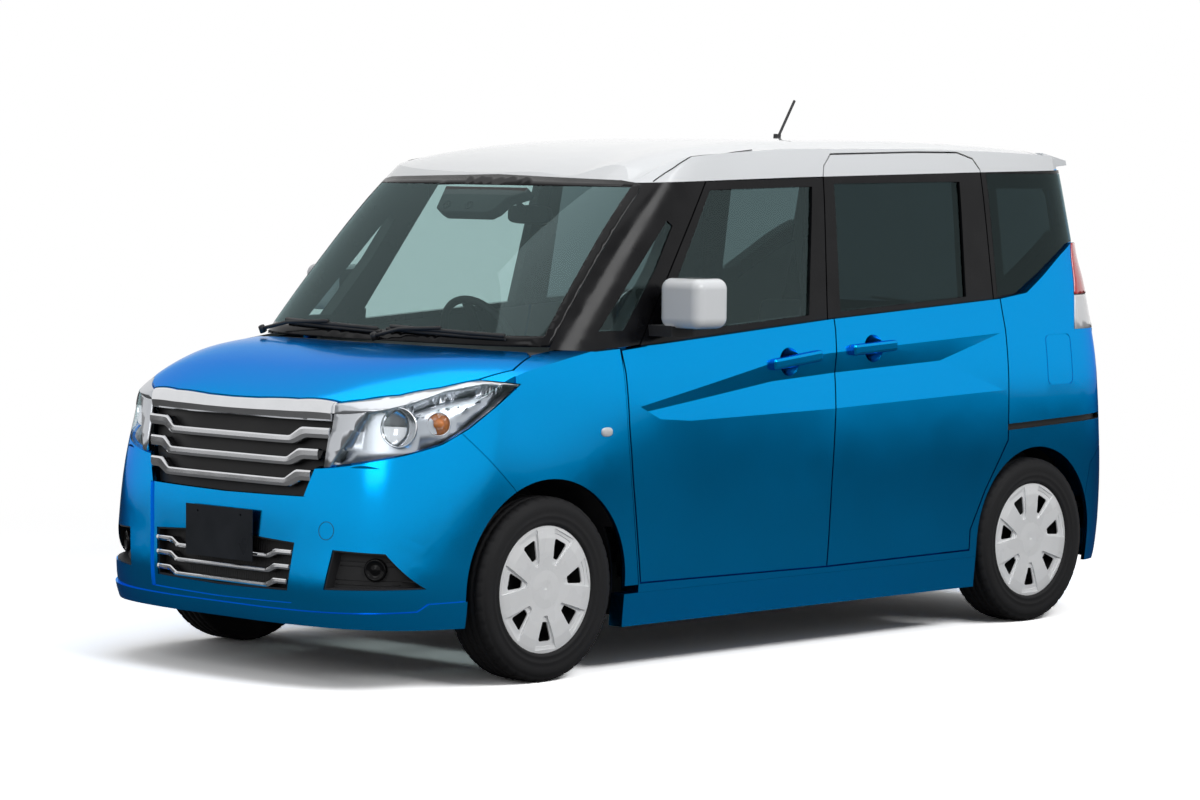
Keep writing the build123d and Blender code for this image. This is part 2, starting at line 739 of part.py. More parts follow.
def tailgate():
    """Painted tailgate below its glass."""
    zone = tailgate_zone(-shut_gap / 2)
    low = (zone & block(-1900, -1600, -900, 900, up(500), up(1045)) & flank(0.0)) - flank(50.0)
    low -= block(-1900, -1600, -185, 185, up(690), up(872)) - flank(22.0)
    rail = (zone & block(-1900, -1600, -330, 330, up(878), up(914)) & flank(-12.0)) - flank(30.0)
    high = (zone & block(-1900, -1600, -900, 900, up(1045), up(1640)) & cabin(0.0)) - cabin(40.0)
    return join(low, rail, high) - rear_window_zone()


def rear_wiper():
    """Wiper parked across the foot of the tailgate's glass."""
    x = -at(table(HOUSE_REAR, 1110))
    boss = rod((x + 20, 0, up(1100)), (x - 22, 0, up(1100)), 16)
    arm = rod((x - 16, 0, up(1100)), (x - 8, -400, up(1132)), 5)
    return join(boss, arm) - cabin(-seam)


def tailgate_glass():
    """Tailgate's pane."""
    return (rear_window_zone(-seam) & cabin(0.0)) - cabin(glass_wall)


def spoiler():
    """Painted lip over the tailgate."""
    zone = block(at(-1900), at(-1600 - shut_gap), -595, 595, up(1640) + seam, up(1800))
    top = (zone & cabin(0.0)) - cabin(40.0)
    blade = [(at(-1650), up(1700)), (at(-1790), up(1672)), (at(-1796), up(1655)),
             (at(-1690), up(1645))]
    sketch = make_face(Polyline(*blade, close=True))
    wing = through(sketch, -560, 560)
    return join(top, wing)


# ---- running gear ----
def revolved(profile, x, y, z):
    """Profile of (radius, offset along the axle) corners turned about an axle line."""
    face = make_face(Polyline(*[(r, 0, o) for r, o in profile], close=True))
    solid = revolve(face, Axis.Z, 360)
    return Pos(x, y, z) * Rot(-90, 0, 0) * solid


def tyre(x, y, way):
    """One tyre, hollow behind its tread."""
    h = tyre_width / 2
    r0, r1 = rim_radius, tyre_radius
    outer = [(r0, -h * 0.70), (r0 + 16, -h * 0.72), (r0 + 24, -h * 0.9), (r0 + 50, -h),
             (r1 - 28, -h * 0.95), (r1 - 7, -h * 0.78), (r1, -h * 0.5), (r1, h * 0.5),
             (r1 - 7, h * 0.78), (r1 - 28, h * 0.95), (r0 + 50, h), (r0 + 24, h * 0.9),
             (r0 + 16, h * 0.72), (r0, h * 0.70)]
    inner = [(r0, h * 0.6), (r0 + 22, h * 0.8), (r0 + 50, h - 8), (r1 - 30, h * 0.83),
             (r1 - 16, h * 0.6), (r1 - 12, 0), (r1 - 16, -h * 0.6), (r1 - 30, -h * 0.83),
             (r0 + 50, -h + 8), (r0 + 22, -h * 0.8), (r0, -h * 0.6)]
    return revolved(outer + inner, x, y, tyre_radius)


COVER_FACE = ((0, 70), (30, 71), (62, 70), (120, 73), (165, 73), (192, 70), (203, 68))


def cover_disc(drop):
    """Turned cover volume from the wheel's middle out to its face, set in by drop."""
    face = [(r, o - drop) for r, o in COVER_FACE]
    return revolved([(0, 40)] + face + [(COVER_FACE[-1][0], 40)], 0, 0, 0)


def cover_windows(r_in, r_out, narrow, wide):
    """Tapered openings of the cover, one between each pair of spokes."""
    corners = [(r_in, -narrow / 2), (r_in, narrow / 2), (r_out, wide / 2), (r_out, -wide / 2)]
    sketch = make_face(Polyline(*corners, close=True))
    sketch = fillet(sketch.vertices(), min(narrow, wide) / 3)
    tool = extrude(sketch, 200)
    tools = [Rot(0, 0, 360 * i / cover_spokes + 90) * tool for i in range(cover_spokes)]
    return Rot(-90, 0, 0) * join(*tools)


def wheel_cover():
    """Moulded cover of one wheel: broad spokes, pockets and windows between them."""
    seat = tyre_width / 2 * 0.76
    shell = cover_disc(0.0) - cover_disc(cover_wall)
    shell -= revolved([(186, 30), (215, 30), (215, seat), (186, seat)], 0, 0, 0)
    pockets = cover_windows(84, 193, 16, 100) - cover_disc(pocket_depth)
    shell -= pockets
    shell -= cover_windows(104, 166, 22, 58)
    stem = revolved([(0, 46), (40, 46), (40, 66), (0, 66)], 0, 0, 0)
    rib = revolved([(194, seat), (203, seat), (203, 66), (194, 66)], 0, 0, 0)
    return join(shell, stem, rib)


def wheel(x, y, way, rear):
    """Rim, disc, cover, hub and brake rotor of one wheel; way is +1 on the left."""
    h = tyre_width / 2
    r0 = rim_radius
    barrel = [(r0 - seam, -h * 0.745), (r0 + 14, -h * 0.76), (r0 + 14, -h * 0.82),
              (r0 - 8, -h * 0.80), (r0 - 14, -h * 0.5), (r0 - 26, 0), (r0 - 14, h * 0.5),
              (r0 - 8, h * 0.80), (r0 + 14, h * 0.82), (r0 + 14, h * 0.76), (r0 - seam, h * 0.745),
              (r0 - seam, h * 0.64), (r0 - 6, h * 0.5), (r0 - 18, 0), (r0 - 6, -h * 0.5),
              (r0 - seam, -h * 0.64)]
    rim = revolved(barrel, 0, 0, 0)
    plate = revolved([(45, 28), (r0 - 20, 12), (r0 - 20, 4), (45, 20)], 0, 0, 0)
    centre = revolved([(0, 48), (60, 48), (60, 18), (0, 18)], 0, 0, 0)
    whole = join(rim, plate, centre, wheel_cover())
    if rear:
        drum = revolved([(24, 20), (112, 14), (118, 8), (118, -48), (110, -48), (108, 4),
                         (24, 8)], 0, 0, 0)
        whole = join(whole, drum)
    else:
        rotor = revolved([(0, 20), (0, -14), (60, -14), (60, -32), (128, -32), (128, -14),
                          (66, -14), (66, 20)], 0, 0, 0)
        shaft = revolved([(0, -14), (0, -86), (30, -86), (30, -14)], 0, 0, 0)
        whole = join(whole, rotor, shaft)
    whole = whole if way > 0 else flipped(whole)
    return Pos(x, y, tyre_radius) * whole


def kingpin_point(z):
    """Distance from the middle plane of the left steering axis at height z."""
    return front_track / 2 - kingpin_inset - (z - tyre_radius) * tan(radians(kingpin_lean))


def on_kingpin(z0, z1, radius):
    """Cylinder along the left steering axis between two heights."""
    return rod((front_axle, kingpin_point(z0), z0), (front_axle, kingpin_point(z1), z1), radius)


strut_top = 812.0
engine_offset = 40.0
rail_bottom = 340.0
bulkhead_back = 312.0
WHEEL_HUB = (358.0, -350.0, 1014.0)
column_lean = 25.0
hub_thick = 34.0
floor_bottom = 205.0
rear_floor_bottom = 388.0
pipe_radius = 24.0


def knuckle():
    """Left hub carrier with its strut, spring, steering arm and brake caliper."""
    y = front_track / 2
    carrier = wheel_drum(front_axle, y - 82, y - 40, 62)
    arm = block(front_axle - 26, front_axle + 26, kingpin_point(200) - 26, y - 44, 178, 300)
    neck = block(front_axle - 24, front_axle + 24, y - 82, y - 52, 300, 400)
    strut = on_kingpin(318, 640, 20)
    seat = on_kingpin(634, 642, 74)
    spring = on_kingpin(642, strut_top - 30, 58) - on_kingpin(642, strut_top - 30, 44)
    piston = on_kingpin(640, strut_top, 11)
    cap = on_kingpin(strut_top - 30, strut_top - 22, 66)
    steer = block(front_axle - 140, front_axle - 40, y - 84, y - 60, 280, 304)
    caliper = block(front_axle - 142, front_axle - 74, y - 62, y - 2, tyre_radius - 46,
                    tyre_radius + 46)
    slot = wheel_drum(front_axle, y - 38, y - 8, 134)
    bracket = block(front_axle - 142, front_axle - 40, y - 62, y - 44, tyre_radius - 20,
                    tyre_radius + 20)
    whole = join(carrier, arm, neck, strut, seat, spring, piston, cap, steer, caliper - slot,
                 bracket)
    return whole - wheel_drum(front_axle, y - 90, y - 30, 30.05) - slot


def front_suspension():
    """Subframe, lower arms, rack tube and drive shafts."""
    x = front_axle
    y = front_track / 2
    frame = block(x - 120, x + 70, -330, 330, 190, 235)
    arms = [block(x - 90, x - 40, way * 458 - 138, way * 458 + 138, 185, 205)
            for way in (1, -1)]
    tips = [block(x - 90, x + 24, way * 595 - 25, way * 595 + 25, 180, 205) for way in (1, -1)]
    rack = rod((x - 95, -430, 262), (x - 95, 430, 262), 22)
    mounts = [block(x - 115, x - 75, way * 250 - 20, way * 250 + 20, 230, 262)
              for way in (1, -1)]
    drive = block(x - 70, x + engine_offset - seam, -120, 120, 225, 370)
    legs = [block(x - 88, x - 44, way * 404 - 16, way * 404 + 16, 195, rail_bottom - seam)
            for way in (1, -1)]
    shafts = [rod((x, way * 110, tyre_radius), (x, way * (y - 135), tyre_radius), 14)
              for way in (1, -1)]
    boots = [rod((x, way * (y - 205), tyre_radius), (x, way * (y - 130), tyre_radius), 34)
             for way in (1, -1)]
    return join(frame, drive, *legs, *arms, *tips, rack, *mounts, *shafts, *boots)


def rear_axle_beam():
    """Torsion beam with trailing arms, springs, dampers and stub axles."""
    x = rear_axle
    y = rear_track / 2
    beam = rod((x + 130, -545, 265), (x + 130, 545, 265), 42)
    parts = [beam]
    for way in (1, -1):
        parts.append(rod((x + 390, way * 560, 290), (x - 10, way * 560, tyre_radius), 26))
        parts.append(rod((x + 390, way * 525, 290), (x + 390, way * 595, 290), 34))
        parts.append(rod((x, way * 540, tyre_radius), (x, way * (y - 56), tyre_radius), 34))
        parts.append(rod((x, way * (y - 58), tyre_radius), (x, way * (y - 52), tyre_radius), 116))
        parts.append(rod((x, way * (y - 60), tyre_radius), (x, way * (y + 6), tyre_radius), 20))
        top = rear_floor_bottom - seam
        parts.append(rod((x + 60, way * 490, 262), (x + 60, way * 490, top), 52))
        parts.append(rod((x + 130, way * 490, 265), (x, way * 490, 275), 40))
        parts.append(rod((x - 60, way * 540, 270), (x - 40, way * 540, 378), 20))
        parts.append(rod((x - 60, way * 540, 275), (x, way * 545, 290), 18))
    return join(*parts)


def engine():
    """Engine and gearbox as one plain block."""
    x = front_axle + engine_offset
    return block(x, x + 360, -330, 330, 300, 800)


def exhaust():
    """Pipe under the floor and the silencer behind the rear axle."""
    low = floor_bottom - pipe_radius - seam
    pipe = rod((front_axle - 130, -90, low), (rear_axle + 280, -90, low), pipe_radius)
    rise = rod((rear_axle + 280, -90, low), (rear_axle + 200, -90, low + 4), pipe_radius)
    back = rod((rear_axle + 200, -90, low + 4), (rear_axle - 180, -90, 190), pipe_radius)
    box = block(rear_axle - 400, rear_axle - 170, -330, 40, 185, 330)
    tail = rod((rear_axle - 380, -300, 250), (rear_axle - 455, -300, 247), 22)
    return join(pipe, rise, back, box, tail)


def fuel_tank():
    """Flat tank under the rear seat."""
    tank = block(rear_axle + 330, rear_axle + 700, -20, 470, 205, rear_floor_bottom - seam)
    return fillet(tank.edges().filter_by(Axis.Z), 40)


def arch_liner(x, inner, outer, radius):
    """Wheel house shell over one left wheel."""
    z = tyre_radius + 10
    upper = block(x - radius - 9, x + radius + 9, inner - 7, outer, z - 90, z + radius + 9)
    shell = wheel_drum(x, inner - 6, outer, radius + 6, z) - wheel_drum(x, inner, outer + 1,
                                                                       radius, z)
    return shell & upper


def floor_pan():
    """Floor, bulkhead, wheel houses, strut towers and front rails."""
    x = front_axle
    wide = 712
    low, high = floor_bottom, rear_floor_bottom
    front = block(rear_axle + 720, x - 300, -wide, wide, low, low + 12)
    riser = block(rear_axle + 708, rear_axle + 720, -wide, wide, low, high + 12)
    back = block(at(-1780), rear_axle + 712, -wide, wide, high, high + 12)
    dash = block(x - bulkhead_back, x - bulkhead_back + 12, -wide, wide, low, 1010)
    toe = block(x - 306, x - 100, -430, 430, 330, 342)
    sill = [block(rear_axle + 380, x - 390, way * 688 - 24, way * 688 + 24, 178, 250)
            for way in (1, -1)]
    rails = [block(x - 306, at(1735), way * 410 - 26, way * 410 + 26, rail_bottom,
                   rail_bottom + 100) for way in (1, -1)]
    beam = block(at(1735), at(1760), -440, 440, 400, 520)
    pads = [block(at(1755), at(1850), way * 60 - 20, way * 60 + 20, up(484), up(514))
            & flank(skin + seam) for way in (1, -1)]
    support = block(at(1690), at(1702), -440, 440, 340, 800)
    pads += [block(at(-1850), at(-1785), way * 300 - 25, way * 300 + 25, up(470), up(505))
             & flank(skin + seam) for way in (1, -1)]
    rear_wall = block(at(-1790), at(-1780), -590, 590, 300, 530)
    solid = join(front, riser, back, dash, *sill, *rails, beam, *pads, support, rear_wall)
    f_radius, r_radius = front_arch_radius + 25, rear_arch_radius + 12
    for way in (1, -1):
        wells = join(wheel_drum(x, 441, 900, f_radius + 3, tyre_radius + 10),
                     wheel_drum(rear_axle, 597, 900, r_radius + 3, tyre_radius + 10),
                     block(x - 367, x + 367, 441, 900, 0, tyre_radius + 10),
                     block(rear_axle - 339, rear_axle + 339, 597, 900, 0, tyre_radius + 10))
        behind = block(x - 500, x - 330, 715, 900, 0, 900)
        liners = join((arch_liner(x, 445, 790, f_radius) & flank(skin + seam)) - behind,
                      arch_liner(rear_axle, 600, 704, r_radius),
                      on_kingpin(600, strut_top + 12, 106))
        bay = join(on_kingpin(400, strut_top + 4, 100),
                   wheel_drum(x, 446, 789, f_radius - 1, tyre_radius + 10),
                   wheel_drum(x, 430, 500, 50), wheel_drum(rear_axle, 590, 700, 60))
        if way < 0:
            wells, liners, bay = flipped(wells), flipped(liners), flipped(bay)
        solid = join(solid - wells, liners) - bay
    return solid


# ---- cabin ----
def seat(y, wide):
    """One padded seat: squab, back and head restraint."""
    squab = block(-260, 240, y - wide / 2, y + wide / 2, 330, 470)
    back = Pos(-270, y, 440) * Rot(0, -18, 0) * Box(110, wide, 580,
                                                    align=(Align.CENTER, Align.CENTER, Align.MIN))
    head = Pos(-452, y, 1030) * Rot(0, -10, 0) * Box(80, 250, 150,
                                                     align=(Align.CENTER, Align.CENTER, Align.MIN))
    posts = rod((-430, y, 960), (-455, y, 1060), 8)
    return join(squab, back, head, posts)


def front_seats():
    base = [block(-240, 200, way * 350 - 190, way * 350 + 190, 217.3, 330) for way in (1, -1)]
    return join(*[seat(way * 350, 500) for way in (1, -1)], *base)


def rear_seat():
    """Bench across the back of the cabin."""
    squab = block(-1080, -600, -570, 570, 400.3, 560)
    back = Pos(-1090, 0, 500) * Rot(0, -20, 0) * Box(110, 1140, 560,
                                                     align=(Align.CENTER, Align.CENTER, Align.MIN))
    heads = []
    for y in (-360, 0, 360):
        heads.append(Pos(-1290, y, 1040) * Rot(0, -12, 0) * Box(80, 240, 130))
        heads.append(rod((-1268, y, 960), (-1290, y, 1040), 8))
    return join(squab, back, *heads)


def dashboard():
    """Dashboard across the cabin."""
    front = front_axle - bulkhead_back - seam
    corners = [(front, 1000), (700, 1035), (560, 1030), (500, 960), (520, 800), (600, 700),
               (front, 690)]
    body = through(side_sketch(corners), -672, 672)
    hub = Vector(*WHEEL_HUB)
    run = Vector(cos(radians(column_lean)), 0, -sin(radians(column_lean)))
    column = rod(tuple(hub + run * (hub_thick / 2 + seam)), tuple(hub + run * 260), 26)
    return join(body, column)




def steering_wheel():
    """Rim, spokes and hub of the steering wheel."""
    plane = Plane(origin=WHEEL_HUB, x_dir=(0, 1, 0),
                  z_dir=(-cos(radians(column_lean)), 0, sin(radians(column_lean))))
    rim = Torus(172, 14)
    spokes = [Box(330, 40, 14), Pos(0, -80, 0) * Box(40, 170, 14)]
    hub = Cylinder(52, hub_thick)
    return plane * join(rim, hub, *spokes)


def mirror():
    """Left door mirror: foot and housing."""
    housing = block(490, 650, 785, 965, up(1120), up(1283))
    housing = fillet(housing.edges(), 34)
    foot = block(545, 650, 745, 850, up(1092), up(1128))
    return join(housing, foot) - cabin(-seam) - (flank(-seam) & below(BELT, seam))


def screen_x(y, z):
    """Station of the windscreen's outer face at (y, z), heights as designed."""
    reach = at(table(HOUSE_FRONT, z))
    side = across(table(HOUSE_SIDE, z))
    return reach * (1 - abs(y / side) ** 3) ** (1 / 12)


def wiper(y0, y1, z0, z1):
    """One wiper arm and blade lying on the glass."""
    points = []
    steps = 6
    for i in range(steps + 1):
        y = y0 + (y1 - y0) * i / steps
        z = z0 + (z1 - z0) * i / steps
        points.append((screen_x(y, z) + 8.1, y, up(z) + 2.9))
    path = Edge.make_spline([Vector(*p) for p in points])
    section = Plane(origin=points[0], z_dir=path % 0) * Circle(6)
    return sweep(section, path)


def wipers():
    """Two wipers parked at the foot of the glass."""
    return join(wiper(560, 40, 1085, 1098), wiper(20, -500, 1088, 1100))


def cowl():
    """Dark panel between bonnet and windscreen."""
    edge = across(694) - seam
    zone = block(at(1040), at(1250), -edge, edge, up(1000), up(1075)) - bonnet_zone(shut_gap / 2)
    panel = (zone & bonnet_dome(4.0)) - bonnet_dome(14.0)
    return panel - house(-2.0)


def antenna():
    """Short rod on the roof."""
    return join(rod((-910, -100, up(1740)), (-1005, -100, up(1885)), 5),
                rod((-908, -100, up(1730)), (-912, -100, up(1760)), 14)) - cabin(-seam)


def stepped_bar(z, thick, rise, wide):
    """Front outline of one grille bar whose ends step up and thicken."""
    half_run = ((0, z + thick / 2), (0.62 * wide, z + thick / 2), (0.72 * wide, z + rise + thick),
                (wide, z + rise + thick), (wide, z + rise - thick / 3),
                (0.76 * wide, z + rise - thick / 3), (0.66 * wide, z - thick / 2))
    return half_run[1:] + ((0, z - thick / 2),) + tuple((-y, h) for y, h in half_run[:0:-1])


def upper_grille():
    """Grille block in the nose, bars and dark back."""
    zone = grille_zone(-fit) - bonnet_zone(shut_gap / 2)
    back = (zone & nose_volume(30.0)) - nose_volume(40.0)
    bars = []
    for z in (645, 712, 779):
        bar = front_band(stepped_bar(z, 18, 20, 460), 1500, 1900) & zone
        bars.append((bar & nose_volume(4.0)) - nose_volume(34.0))
    top = block(at(1500), at(1900), -460, 460, up(868), up(960)) & zone
    bars.append((top & nose_volume(0.0)) - nose_volume(34.0))
    return join(back, *bars)


def lower_grille():
    """Lower air opening with its bars."""
    zone = front_band(LOWER_GRILLE, 1500, 1900, -fit)
    back = (zone & nose_volume(40.0)) - nose_volume(48.0)
    rim = (zone - front_band(LOWER_GRILLE, 1500, 1900, -6.0)) & nose_volume(12.0)
    bars = []
    for z in (316, 362, 408):
        bar = front_band(stepped_bar(z, 9, 14, 350), 1500, 1900) & zone
        bars.append((bar & nose_volume(14.0)) - nose_volume(44.0))
    return join(back, rim - nose_volume(44.0), *bars)


def fog_lamp():
    """Left fog lamp recess with its round cap."""
    zone = fog_zone(-fit)
    back = (zone & nose_volume(34.0)) - nose_volume(44.0)
    rim = ((zone - fog_zone(-5.0)) & nose_volume(4.0)) - nose_volume(40.0)
    cap = Plane(origin=(at(1717), 588, up(383)), z_dir=(0.8, 0.6, 0)) * Cylinder(34, 30)
    housing = join(back, rim, cap & zone)
    return housing - wheel_drum(front_axle, 400, 900, front_arch_radius + 36, tyre_radius + 10)


def pair(part):
    """A left piece and its mirror image."""
    return Compound(children=part.solids() + flipped(part).solids())


def main():
    """Build every piece and write it."""
    os.makedirs("parts", exist_ok=True)
    f_y, r_y = front_track / 2, rear_track / 2
    for node, maker in (("body_side", body_side), ("front_fender", front_fender),
                        ("sliding_door", sliding_door), ("front_door", front_door),
                        ("front_door_frame", front_door_frame),
                        ("front_door_glass", front_door_glass), ("door_mirror", mirror),
                        ("knuckle", knuckle)):
        left = maker()
        save(node + "_right", flipped(left))
        if node == "body_side":
            left = left - fuel_lid_groove()
        save(node + "_left", left)
    for node, maker in (("pillar_frames", pillar_frame), ("headlamps", headlamp),
                        ("fog_lamps", fog_lamp), ("front_quarter_glass", front_quarter_glass),
                        ("rear_quarter_glass", rear_quarter_glass),
                        ("sliding_door_frames", sliding_door_frame),
                        ("sliding_door_tops", sliding_door_top),
                        ("sliding_door_glass", sliding_door_glass), ("side_skirts", side_skirt),
                        ("tail_lamps", tail_lamp)):
        save(node, pair(maker()))
    for node, maker in (("floor_pan", floor_pan), ("roof", roof), ("bonnet", bonnet),
                        ("front_bumper", front_bumper), ("upper_grille", upper_grille),
                        ("lower_grille", lower_grille), ("number_plates", front_plate), ("windscreen", windscreen),
                        ("cowl", cowl), ("wipers", wipers), ("rear_bumper", rear_bumper),
                        ("tailgate", tailgate), ("tailgate_glass", tailgate_glass),
                        ("rear_wiper", rear_wiper),
                        ("spoiler", spoiler), ("dashboard", dashboard),
                        ("steering_wheel", steering_wheel), ("front_seats", front_seats),
                        ("rear_seat", rear_seat), ("engine", engine),
                        ("front_suspension", front_suspension), ("rear_axle", rear_axle_beam),
                        ("exhaust", exhaust), ("fuel_tank", fuel_tank), ("antenna", antenna)):
        save(node, maker())
    for end, x, y in (("front", front_axle, f_y), ("rear", rear_axle, r_y)):
        for side, way in (("left", 1), ("right", -1)):
            save("tyre_%s_%s" % (end, side), tyre(x, way * y, way))
            save("wheel_%s_%s" % (end, side), wheel(x, way * y, way, end == "rear"))


if __name__ == "__main__":
    main()
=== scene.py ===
"""Looks of the compact minivan: materials, lamps, rubber, cabin trim, lights and camera.

Sizes are in metres. A side is 1 for the left and -1 for the right.
"""
import json
from math import cos, pi, radians, sin

import bmesh
import bpy
from mathutils import Matrix, Vector
from mathutils.bvhtree import BVHTree


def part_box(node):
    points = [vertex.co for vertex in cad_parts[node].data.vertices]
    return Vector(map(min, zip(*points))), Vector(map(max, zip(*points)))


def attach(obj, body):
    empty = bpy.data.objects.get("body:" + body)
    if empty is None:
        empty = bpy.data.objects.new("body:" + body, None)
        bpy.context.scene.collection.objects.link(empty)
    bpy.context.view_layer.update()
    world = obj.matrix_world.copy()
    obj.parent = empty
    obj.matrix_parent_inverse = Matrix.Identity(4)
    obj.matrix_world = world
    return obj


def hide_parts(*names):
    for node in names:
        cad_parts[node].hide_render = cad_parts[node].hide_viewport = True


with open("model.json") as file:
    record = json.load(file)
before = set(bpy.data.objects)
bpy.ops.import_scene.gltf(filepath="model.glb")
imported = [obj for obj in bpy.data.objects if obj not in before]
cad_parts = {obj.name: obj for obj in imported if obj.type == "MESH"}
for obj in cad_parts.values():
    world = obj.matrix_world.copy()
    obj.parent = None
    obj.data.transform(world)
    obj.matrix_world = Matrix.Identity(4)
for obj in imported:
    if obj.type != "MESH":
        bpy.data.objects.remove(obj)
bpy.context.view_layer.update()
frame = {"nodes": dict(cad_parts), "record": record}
nodes = frame["nodes"]
scene = bpy.context.scene
SIDES = ((1, "left"), (-1, "right"))


# ---- materials ----
NOISE_LOW, NOISE_HIGH = 0.3, 0.7
PANE_SHEEN = (0.38, 0.52, 0.53, 1)
PANE_HAZE = 0.02


def new_material(name, **sockets):
    """Principled material; returns it, its node tree and its Principled node."""
    material = bpy.data.materials.new(name)
    material.use_nodes = True
    tree = material.node_tree
    shader = tree.nodes["Principled BSDF"]
    for socket, value in sockets.items():
        key = socket.replace("_", " ")
        shader.inputs[key].default_value = value
    return material, tree, shader


def bare_material(name):
    """Material with nothing but its output node; returns it and its node tree."""
    material, tree, shader = new_material(name)
    tree.nodes.remove(shader)
    return material, tree


def combined(tree, operation, first, second):
    """Value of a calculation with two sockets, kept within 0 and 1."""
    math = tree.nodes.new("ShaderNodeMath")
    math.operation = operation
    math.use_clamp = True
    tree.links.new(first, math.inputs[0])
    tree.links.new(second, math.inputs[1])
    return math.outputs["Value"]


def mixed(tree, share, first, second, output="Material Output"):
    """Feeds the tree's output with two shaders: the second one by its share."""
    mix = tree.nodes.new("ShaderNodeMixShader")
    tree.links.new(share, mix.inputs["Fac"])
    tree.links.new(first, mix.inputs[1])
    tree.links.new(second, mix.inputs[2])
    tree.links.new(mix.outputs["Shader"], tree.nodes[output].inputs["Surface"])


def object_noise(tree, scale, detail):
    """Noise in the object's own coordinates."""
    place = tree.nodes.new("ShaderNodeTexCoord")
    noise = tree.nodes.new("ShaderNodeTexNoise")
    noise.inputs["Scale"].default_value = scale
    noise.inputs["Detail"].default_value = detail
    tree.links.new(place.outputs["Object"], noise.inputs["Vector"])
    return noise


def mapped(tree, source, start, end, low, high):
    """Node that maps start to end of a source onto low to high."""
    ramp = tree.nodes.new("ShaderNodeMapRange")
    ramp.inputs["From Min"].default_value = start
    ramp.inputs["From Max"].default_value = end
    ramp.inputs["To Min"].default_value = low
    ramp.inputs["To Max"].default_value = high
    tree.links.new(source, ramp.inputs["Value"])
    return ramp


def spread(tree, source, low, high, socket):
    """Feeds a socket with values from low to high over a noise's usual range."""
    ramp = mapped(tree, source, NOISE_LOW, NOISE_HIGH, low, high)
    tree.links.new(ramp.outputs["Result"], socket)


def tinted(tree, shader, source, dark, light):
    """Colours the shader between two tints over a noise's usual range."""
    ramp = tree.nodes.new("ShaderNodeValToRGB")
    ramp.color_ramp.elements[0].position = NOISE_LOW
    ramp.color_ramp.elements[0].color = (*dark, 1)
    ramp.color_ramp.elements[1].position = NOISE_HIGH
    ramp.color_ramp.elements[1].color = (*light, 1)
    tree.links.new(source, ramp.inputs["Fac"])
    tree.links.new(ramp.outputs["Color"], shader.inputs["Base Color"])


def bumped(tree, shader, source, strength, distance):
    """Bump from a value onto the shader's normal."""
    bump = tree.nodes.new("ShaderNodeBump")
    bump.inputs["Strength"].default_value = strength
    bump.inputs["Distance"].default_value = distance
    tree.links.new(source, bump.inputs["Height"])
    tree.links.new(bump.outputs["Normal"], shader.inputs["Normal"])


def paint(name, dark, light, metallic, roughness, coat, edge):
    """Clear-coated paint with fine flake."""
    material, tree, shader = new_material(name, Metallic=metallic, Roughness=roughness,
                                          Coat_Weight=coat, Coat_Roughness=0.03, Coat_IOR=1.25,
                                          Specular_IOR_Level=0.2, Specular_Tint=(*edge, 1))
    flake = object_noise(tree, scale=1400.0, detail=1.0)
    tinted(tree, shader, flake.outputs["Fac"], dark, light)
    haze = object_noise(tree, scale=3.0, detail=3.0)
    spread(tree, haze.outputs["Fac"], roughness - 0.02, roughness + 0.02,
           shader.inputs["Roughness"])
    return material


def moulded(name, dark, light, roughness, grain=900.0, depth=0.00006, coat=0.0, shine=0.3):
    """Moulded plastic or rubber with a fine grain."""
    material, tree, shader = new_material(name, Roughness=roughness, Coat_Weight=coat,
                                          Coat_Roughness=0.04, Specular_IOR_Level=shine)
    fine = object_noise(tree, scale=grain, detail=2.0)
    wide = object_noise(tree, scale=9.0, detail=3.0)
    tinted(tree, shader, wide.outputs["Fac"], dark, light)
    spread(tree, wide.outputs["Fac"], roughness - 0.05, roughness + 0.05,
           shader.inputs["Roughness"])
    bumped(tree, shader, fine.outputs["Fac"], 0.5, depth)
    return material


def metal(name, tint, roughness, variation=0.03):
    """Bare metal or plating with slight unevenness."""
    material, tree, shader = new_material(name, Metallic=1.0, Roughness=roughness)
    wide = object_noise(tree, scale=14.0, detail=3.0)
    tinted(tree, shader, wide.outputs["Fac"], [c * 0.94 for c in tint], tint)
    spread(tree, wide.outputs["Fac"], roughness, roughness + variation,
           shader.inputs["Roughness"])
    return material


def pane(name, tint, index=1.45):
    """Glass that lets light through with a tint and, on its outer side, mirrors by the angle."""
    material, tree = bare_material(name)
    clear = tree.nodes.new("ShaderNodeBsdfTransparent")
    clear.inputs["Color"].default_value = (*tint, 1)
    gloss = tree.nodes.new("ShaderNodeBsdfGlossy")
    gloss.inputs["Color"].default_value = PANE_SHEEN
    smear = object_noise(tree, scale=5.0, detail=3.0)
    spread(tree, smear.outputs["Fac"], 0.0, PANE_HAZE, gloss.inputs["Roughness"])
    fresnel = tree.nodes.new("ShaderNodeFresnel")
    fresnel.inputs["IOR"].default_value = index
    facing = tree.nodes.new("ShaderNodeNewGeometry")
    share = combined(tree, "SUBTRACT", fresnel.outputs["Fac"], facing.outputs["Backfacing"])
    mixed(tree, share, clear.outputs["BSDF"], gloss.outputs["BSDF"])
    return material


